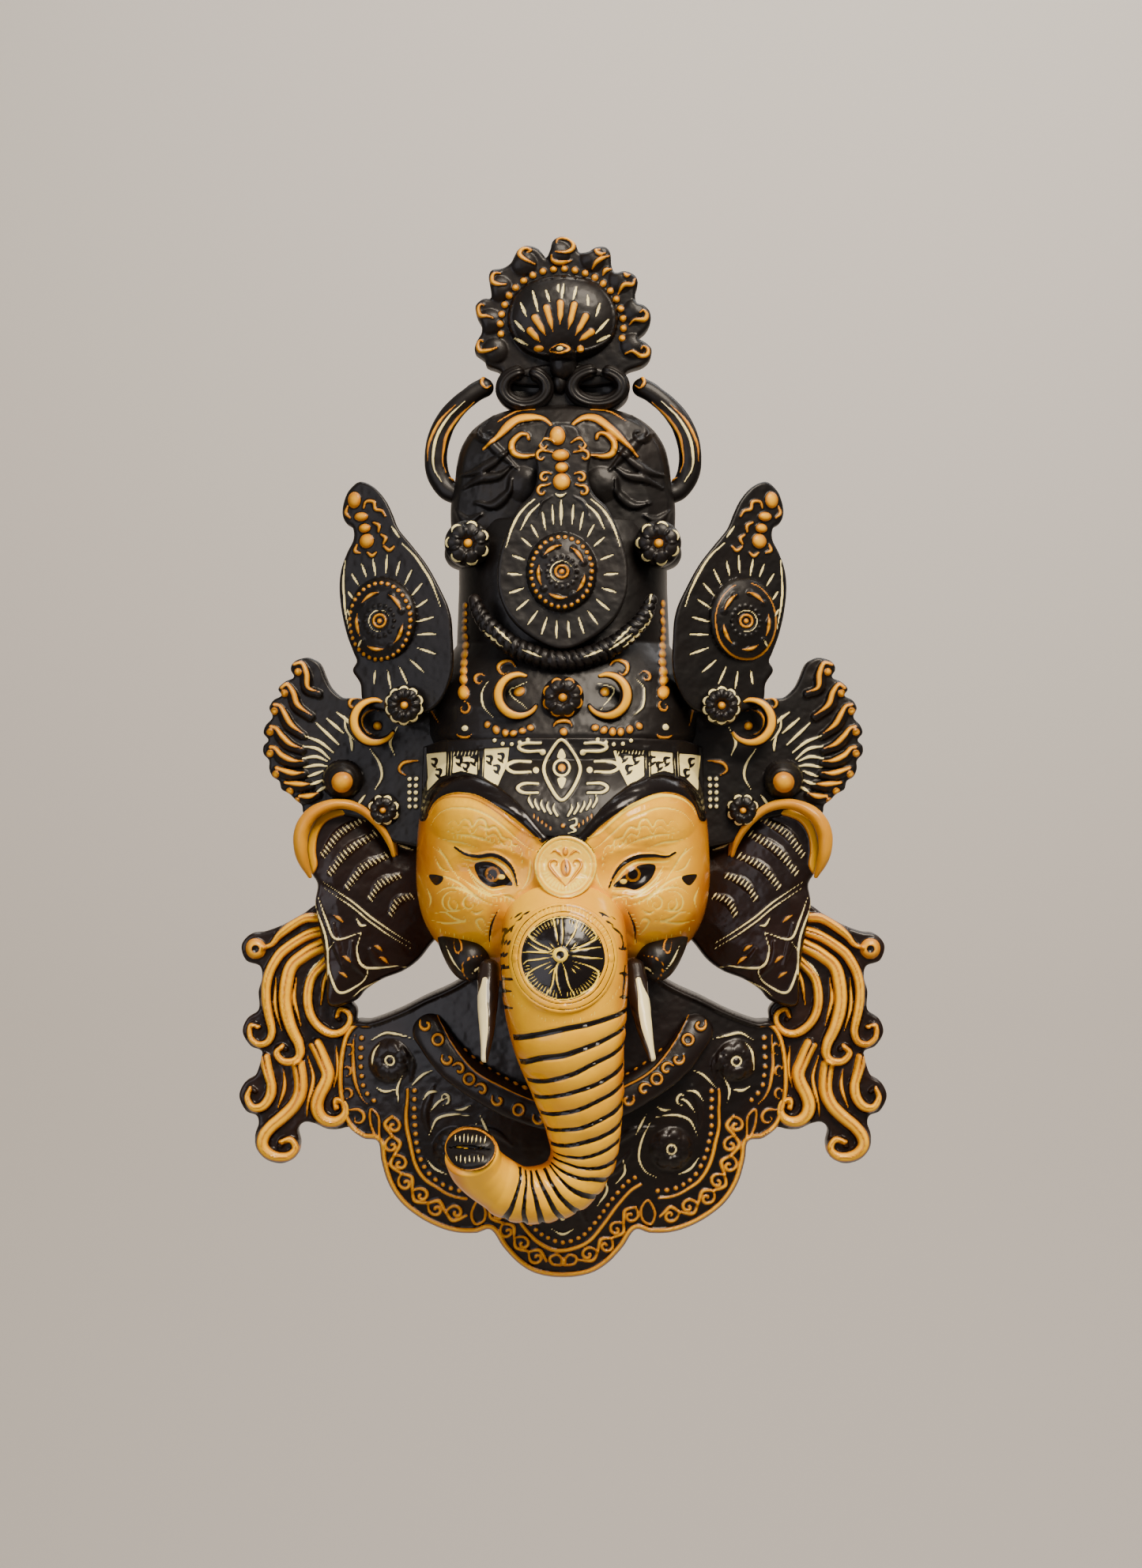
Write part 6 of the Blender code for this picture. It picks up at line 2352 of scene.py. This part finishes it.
        rod.colour(np.arange(len(rod.x)), 0.95 * (np.sin(rod.turn) > -0.2), Paint.OCHRE, 0.3)
        rod.build(self.ear)
        rod.build(self.ear, True, "ear_rim_right")

    def _flames(self) -> None:
        """Makes the shoulder flames: curling locks, each parted by a dark groove."""
        sheet = Relief("flame_left", FLAME_OUTLINE, level(15), level(3), 0.42, 1.5, seed=12, wobble=0.2)
        locks = (
            (
                [
                    (-104, -195.4), (-108.6, -195.7), (-114.1, -196.5), (-119.7, -199.7), (-124.5, -203.7),
                    (-127.6, -207.7), (-131, -209),
                ],
                4.6,
            ),
            (
                [
                    (-103, -201), (-107.8, -202.1), (-114.1, -204.5), (-122.9, -210.8), (-128.4, -219.6),
                    (-130, -229.1), (-128.8, -238.6), (-127.6, -245), (-129.2, -249.7), (-133.2, -251),
                    (-136.6, -248.9), (-137.4, -244.2), (-135.4, -242.2), (-133.4, -243.6),
                ],
                5.0,
            ),
            (
                [
                    (-102, -206), (-106.2, -208.1), (-112.6, -211.6), (-118.9, -217.2), (-121.3, -225.9),
                    (-121.3, -235.4), (-118.9, -244.2), (-115.7, -251.3), (-115.7, -256.9),
                    (-119.7, -258.9), (-124.2, -257.7), (-125.6, -253.9), (-123.6, -252), (-121.6, -253),
                ],
                6.4,
            ),
            (
                [
                    (-102, -213), (-106.2, -217.2), (-110.2, -221.9), (-111.8, -229.1), (-111, -237),
                    (-107, -243.4), (-100.6, -246.6), (-95.6, -245), (-93, -240.6), (-94.4, -237),
                    (-97.5, -236), (-99.4, -238.4), (-98, -240.4),
                ],
                4.6,
            ),
            (
                [
                    (-130.8, -256.5), (-129.2, -264), (-127.6, -268.8), (-128.8, -275.1), (-132.4, -278.6),
                    (-136.6, -278.2), (-138.4, -273.8), (-136.8, -270.6), (-134.6, -272),
                ],
                5.0,
            ),
            (
                [
                    (-116, -260), (-114.9, -268.8), (-116.5, -275.9), (-122.1, -282.3), (-128.4, -287.8),
                    (-131.4, -292.6), (-130.6, -297.2), (-126, -300.2), (-120.5, -300.2), (-117.2, -297.2),
                    (-118.4, -293.4), (-122.4, -292.8), (-124, -295.4),
                ],
                6.4,
            ),
            (
                [
                    (-108.5, -251), (-104.6, -259.3), (-103, -265.6), (-106.2, -272), (-107.8, -278.3),
                    (-105.4, -283.6), (-99.9, -285), (-95.6, -282.1), (-95.6, -277.2), (-98.3, -275.3),
                    (-100.6, -277), (-99.4, -279.2),
                ],
                6.4,
            ),
        )
        for path, width in locks:
            # Each lock swells in its middle, and its painted skin thins to a dark parting beside the crest.
            sheet.ridge(path, width, 3.2, None, (0.7, 0.4), flat=0.4)
            for shift, size in ((0.24, 0.54), (-0.29, 0.42)):
                points = curve(path)
                step = np.gradient(points, axis=0)
                across = np.column_stack(
                    [-step[:, 1], step[:, 0]]
                ) / np.maximum(np.hypot(*step.T), 1e-6)[:, None]
                taper = np.linspace(1.0, 0.35, len(points))[:, None]
                strand = points + across * width * shift * taper
                sheet.ridge(strand[::8], width * size, 1.0, Paint.OCHRE, (0.9, 0.5), 1.0, 0.35)
        for stroke in (
            [(-98, -210), (-104, -222), (-106, -234)], [(-117, -222), (-117.6, -232), (-115, -243)],
            [(-125.6, -222), (-126, -234), (-123.4, -245)],
            [(-112, -256), (-109.4, -266), (-111.6, -276), (-112, -283)],
            [(-122.6, -262), (-122, -270), (-125, -279)], [(-96, -252), (-97, -262), (-95.4, -270)],
            [(-99.6, -252), (-98.6, -262), (-100.6, -270)],
        ):
            sheet.ridge(stroke, 1.8, 1.2, Paint.OCHRE, (0.3, 0.3))
        sheet.draw(
            [
                [(-111.8, -221), (-109, -217), (-106.5, -214.5)], [(-95.5, -259.6), (-94.3, -267.2)],
                [(-94.3, -270.4), (-92.3, -272.8)],
            ],
            0.8,
        )
        sheet.dome((-134.6, -209.4), 4.6, 4.6, 3.0, Paint.OCHRE, flat=0.6)
        sheet.dome((-134.6, -209.4), 1.6, 1.6, -1.2, Paint.BLACK)
        sheet.build(self.flame)
        sheet.build(self.flame, mirror=True, name="flame_right")


@dataclass
class Collar:
    """The lobed collar with its neck band."""

    finish: Finish = COLLAR_BROWN

    def build(self) -> None:
        """Makes the collar."""
        sheet = Relief("collar", whole(COLLAR_HALF), collar_front, hollow, 0.5, 2.0, seed=13, wobble=0.35)
        sheet.border(0.5, 2.6, 1.6, Paint.OCHRE)
        sheet.paint[sheet.z > -243.0] = 0.0
        self._bands(sheet)
        self._vines(sheet)
        self._field(sheet)
        sheet.build(self.finish, 3.0)
        self._neck_band()

    def _bands(self, sheet: Relief) -> None:
        """Raises the bands and rows of beads inside the rim of each lobe.

        Args:
            sheet: The collar's sheet.
        """
        side_band = [
            (-67.7, -270), (-68, -284.3), (-66.6, -293.4), (-64.3, -302.6), (-60.3, -309.4), (-54, -314),
            (-47.1, -316.9), (-42, -317.6),
        ]
        side_beads = [
            (-64.5, -270.5), (-64.7, -284), (-63.6, -294), (-61.4, -301.6), (-57.8, -307.6),
            (-52.6, -311.6), (-46.4, -313.8), (-41.4, -314.4),
        ]
        centre_band = [
            (33.6, -311.2), (28.8, -314.5), (24, -320.4), (17.2, -330), (11.4, -336.8), (3.6, -340.2),
            (-4, -340.7), (-11.4, -336.8), (-17.2, -330), (-24, -320.4), (-28.8, -314.5), (-33.6, -311.2),
        ]
        centre_beads = [
            (31.4, -308.2), (26.4, -311.8), (21.4, -317.8), (14.8, -327.4), (9.4, -333.6), (2.8, -336.8),
            (-2.8, -336.8), (-9.4, -333.6), (-14.8, -327.4), (-21.4, -317.8), (-26.4, -311.8),
            (-31.4, -308.2),
        ]
        sheet.ridge(centre_band, 2.0, 1.4, Paint.OCHRE, (0.8, 0.8))
        sheet.beads(spaced(curve(centre_beads), 3.4), 1.0, 1.1, Paint.OCHRE)
        for side in (1, -1):
            sheet.ridge(sided(side_band, side), 2.0, 1.4, Paint.OCHRE, (0.7, 0.7))
            sheet.beads(spaced(curve(sided(side_beads, side)), 3.7), 1.05, 1.1, Paint.OCHRE)
            rim = [(-91.1, -247), (-91.6, -257.7), (-90.9, -267.2), (-88.4, -273.5), (-85.2, -277)]
            sheet.ridge(sided(rim, side), 1.7, 1.0, Paint.OCHRE)
            beads = [(-87.9, -248.1), (-88.3, -256.9), (-87.9, -265.6), (-86.6, -270.4), (-82.4, -275.1)]
            sheet.beads(spaced(curve(sided(beads, side)), 3.9), 1.0, 1.1, Paint.OCHRE)

    def _vines(self, sheet: Relief) -> None:
        """Carves the scrolling vine between the rim and the bands.

        Args:
            sheet: The collar's sheet.
        """
        side_vine = [
            (-74.4, -282), (-74.4, -293), (-72.4, -303), (-67.4, -312.6), (-60, -319.6), (-51, -324.2),
            (-42.4, -325.6),
        ]
        centre_vine = [(-31.6, -321.6), (-27.4, -327), (-22, -334.4), (-15, -341.4), (-7.4, -345.4)]
        for side in (1, -1):
            sheet.vine(sided(side_vine, side), 8.6, 2.9, 2.0)
            sheet.vine(sided(centre_vine, side), 7.8, 2.6, 1.8)
            leaf = [
                (-37, -318.6), (-34, -322.4), (-34.6, -327.6), (-38.4, -329.4), (-40, -324.6),
                (-37, -318.6),
            ]
            sheet.ridge(sided(leaf, side), 1.3, 1.0, Paint.OCHRE, (0.9, 0.9))
            sheet.ridge(
                spiral(
                    sided([(-95.4, -280), (-91.9, -279.4)], side), (side * -89.9, -283.1), side * -0.9, 0.8,
                ),
                1.5, 1.0, Paint.OCHRE,
            )
            sheet.ridge(sided([(-95, -286.4), (-90.3, -289), (-86.4, -291)], side), 1.3, 0.9, Paint.OCHRE)
            lens = [
                (-84, -279.4), (-80.6, -282.3), (-80.2, -288.6), (-80.8, -292.6), (-84, -286),
                (-84, -279.4),
            ]
            sheet.ridge(sided(lens, side), 1.2, 0.9, Paint.OCHRE, (0.9, 0.9))
            for x, z in ((-94.8, -272), (-95, -262), (-93.6, -252.4)):
                sheet.ridge(
                    spiral([(side * x, z - 3)], (side * x, z), side * 0.7, 0.8), 1.2, 0.8, Paint.OCHRE,
                )
            wing = [(0, -345.6), (-2.6, -342.8), (-6, -344), (-4.8, -347), (-1, -347.6)]
            sheet.ridge(sided(wing, side), 1.5, 1.0, Paint.OCHRE, (0.8, 0.8))
        sheet.dome((0, -346), 1.4, 2.0, 1.2, Paint.OCHRE)

    def _field(self, sheet: Relief) -> None:
        """Draws the cream arcs and carves the dark flowers of the collar's field.

        Args:
            sheet: The collar's sheet.
        """
        for side in (1, -1):
            for centre, radius in (((-75.5, -257.6), 8.4), ((-47.3, -295.8), 8.8)):
                place = (side * centre[0], centre[1])
                sheet.dome(place, radius + 0.8, radius + 0.8, 2.4, flat=0.5)
                sheet.flower(place, radius, 7, None, None)
                sheet.ridge(oval(place, 2.0, 2.0), 0.9, 0.5, Paint.CREAM, (1, 1))
            for stroke in (
                [(-83.7, -248.8), (-76.9, -246), (-68.9, -247.1), (-64.9, -248)],
                [(-66.6, -269.4), (-60.8, -263.6), (-55.7, -261.4)],
                [(-47.1, -278.5), (-43.7, -278.5), (-40.2, -276.6)],
                [(-58.6, -290), (-55.1, -283.1), (-48.3, -280.8), (-40.3, -281.4)],
                [(-57.5, -279.7), (-54, -275.1), (-50, -273.4)],
                [(-38, -283.6), (-34.6, -291.3), (-33.2, -299), (-35.6, -304.9), (-40.4, -308.2)],
                [(-36, -280.2), (-31.7, -289.4)], [(-61, -275), (-58, -271), (-53, -270.6)],
                [(-59.6, -300), (-56, -304.6), (-50, -307.4)], [(-26, -300), (-27, -306), (-23, -311)],
                [(-18, -308), (-19, -314), (-14.6, -321)], [(-82, -269), (-78, -271), (-73, -270)],
                [(-83.4, -262), (-82.6, -254), (-79.4, -249.6)],
                [(-71.6, -276), (-72.4, -270), (-70, -264)],
            ):
                sheet.ridge(sided(stroke, side), 1.1, 0.5, Paint.CREAM)
            sheet.ridge(
                spiral([(side * -52, -276.6)], (side * -51.6, -273.4), side * 0.8, 0.7), 1.1, 0.6,
                Paint.CREAM,
            )
            for stroke in (
                [(-30, -296), (-24, -304), (-16, -309)], [(-40, -286), (-30, -288), (-22, -294)],
                [(-12, -312), (-8, -320), (-10, -328)], [(-56, -268), (-60, -280), (-58, -290)],
                [(-70, -252), (-66, -258), (-66, -266)],
            ):
                sheet.ridge(sided(stroke, side), 3.4, 1.2, None, (0.3, 0.3))
        sheet.beads([(0, -318), (0, -322), (0, -326)], 1.2, 0.8, Paint.CREAM)
        sheet.ridge([(-5, -331), (0, -333.4), (5, -331)], 1.1, 0.5, Paint.CREAM)

    def _neck_band(self) -> None:
        """Makes the raised neck band with its row of scrolls and its inner row of oblong beads."""
        half = [
            (-61, -238, 27, 7.5), (-56, -247, 32, 7.5), (-46, -259, 36, 7.5), (-31, -269, 40, 7.5),
            (-16, -276, 42, 7.5), (0, -279, 43, 7.5),
        ]
        path = [*half, *[(-x, z, d, r) for x, z, d, r in half[-2::-1]]]
        rod = Sweep("neck_band", path, 0.5, 0.45)
        inner = [
            (-55.1, -230.5), (-51.7, -233.9), (-48.8, -238.5), (-45.8, -243.7), (-43.1, -249.4),
            (-40, -253.2), (-34, -257.4), (-28, -261), (-18, -266.6), (-8, -270.4), (0, -271.4),
        ]
        rim = [
            (-58.6, -230.5), (-53, -240.4), (-48.3, -248.8), (-42, -257), (-35.7, -262.5), (-25, -268),
            (-12, -273.4), (0, -275),
        ]
        motifs = [
            (-61.4, -234.5), (-59.1, -241.4), (-54, -247.7), (-49.4, -255.7), (-44.8, -260.2),
            (-40.3, -264.2), (-35.1, -268.8), (-27.7, -272.8), (-19, -277), (-10, -280.6), (0, -282),
        ]
        for side in (1, -1):
            line = sided(rim, side)
            rod.ridge(line, 0.9, 0.5, Paint.OCHRE)
            for place in spaced(curve(sided(inner, side)), 4.3):
                rod.dome((float(place[0]), float(place[1])), 1.7, 1.3, 1.0, Paint.OCHRE, side * -40)
            for i, (x, z) in enumerate(motifs):
                if i % 3 == 2:
                    rod.ridge(oval((side * x, z), 2.2, 2.2), 1.2, 0.9, Paint.OCHRE, (1, 1))
                else:
                    turn = 0.75 if i % 2 else -0.75
                    rod.ridge(
                        spiral([(side * (x - 2.6), z + 1.6)], (side * x, z), side * turn, 0.8), 1.5, 1.0,
                        Paint.OCHRE, (0.5, 0.8),
                    )
        rod.build(self.finish)


class Stage:
    """The plain surroundings, the light and the camera."""

    def build(self) -> None:
        """Makes them all."""
        self._backdrop()
        self._lights()
        self._camera()

    def _backdrop(self) -> None:
        """Makes one seamless sheet of floor and wall, well away from the mask."""
        material = bpy.data.materials.new("backdrop_pale")
        material.use_nodes = True
        shader = material.node_tree.nodes["Principled BSDF"]
        shader.inputs["Base Color"].default_value = linear("#beb5aa")
        shader.inputs["Roughness"].default_value = 0.9
        floor, bend, top, half_width = -1.6, 1.2, 5.0, 7.0
        profile = [(-6.0, floor), (bend, floor)]
        for i in range(1, 13):
            angle = math.pi / 2 * i / 12
            profile.append((bend + bend * math.sin(angle), floor + bend * (1 - math.cos(angle))))
        profile.append((2 * bend, top))
        points, faces = [], []
        for y, z in profile:
            points += [(-half_width, y, z), (half_width, y, z)]
        for i in range(len(profile) - 1):
            faces.append((2 * i, 2 * i + 1, 2 * i + 3, 2 * i + 2))
        mesh = bpy.data.meshes.new("backdrop")
        mesh.from_pydata(points, [], faces)
        mesh.shade_smooth()
        mesh.materials.append(material)
        backdrop = bpy.data.objects.new("backdrop", mesh)
        bpy.context.scene.collection.objects.link(backdrop)

    def _lights(self) -> None:
        """Hangs a key light overhead on the right, a fill on the left and one behind, in a dim room."""
        for name, place, size, power, colour in (
            ("key", (0.55, -1.15, 1.25), 1.0, 74.0, "#fff0dc"),
            ("fill", (-1.3, -1.6, 0.1), 1.6, 16.0, "#f6f4ff"),
            ("back_fill", (0.4, 0.9, 1.3), 1.8, 60.0, "#ffffff"),
        ):
            lamp = bpy.data.lights.new(name, "AREA")
            lamp.size, lamp.energy = size, power
            lamp.color = linear(colour)[:3]
            holder = bpy.data.objects.new(name, lamp)
            holder.location = place
            target = (0.0, 2.4, -0.4) if name == "back_fill" else (0.0, -0.03, -0.13)
            aim = Vector(target) - Vector(place)
            holder.rotation_euler = aim.to_track_quat("-Z", "Y").to_euler()
            bpy.context.scene.collection.objects.link(holder)
        world = bpy.data.worlds.new("room")
        world.use_nodes = True
        world.node_tree.nodes["Background"].inputs["Color"].default_value = linear("#dedad6")
        world.node_tree.nodes["Background"].inputs["Strength"].default_value = 0.36
        bpy.context.scene.world = world

    def _camera(self) -> None:
        """Looks straight at the wall from 1.5 m, level with the face."""
        camera = bpy.data.cameras.new("camera")
        camera.lens, camera.sensor_width = 77.8, 36.0
        holder = bpy.data.objects.new("camera", camera)
        holder.location = (0.0035, -1.5, -0.1372)
        holder.rotation_euler = (math.pi / 2, 0.0, 0.0)
        bpy.context.scene.collection.objects.link(holder)
        bpy.context.scene.camera = holder


def main() -> None:
    """Builds every piece and the stage."""
    logging.basicConfig(level=logging.INFO, format="%(name)s: %(message)s")
    for piece in (Face(), Crown(), Top(), Wings(), Collar()):
        piece.build()
        LOG.info("made %s", type(piece).__name__)
    Stage().build()


if __name__ == "__main__":
    main()
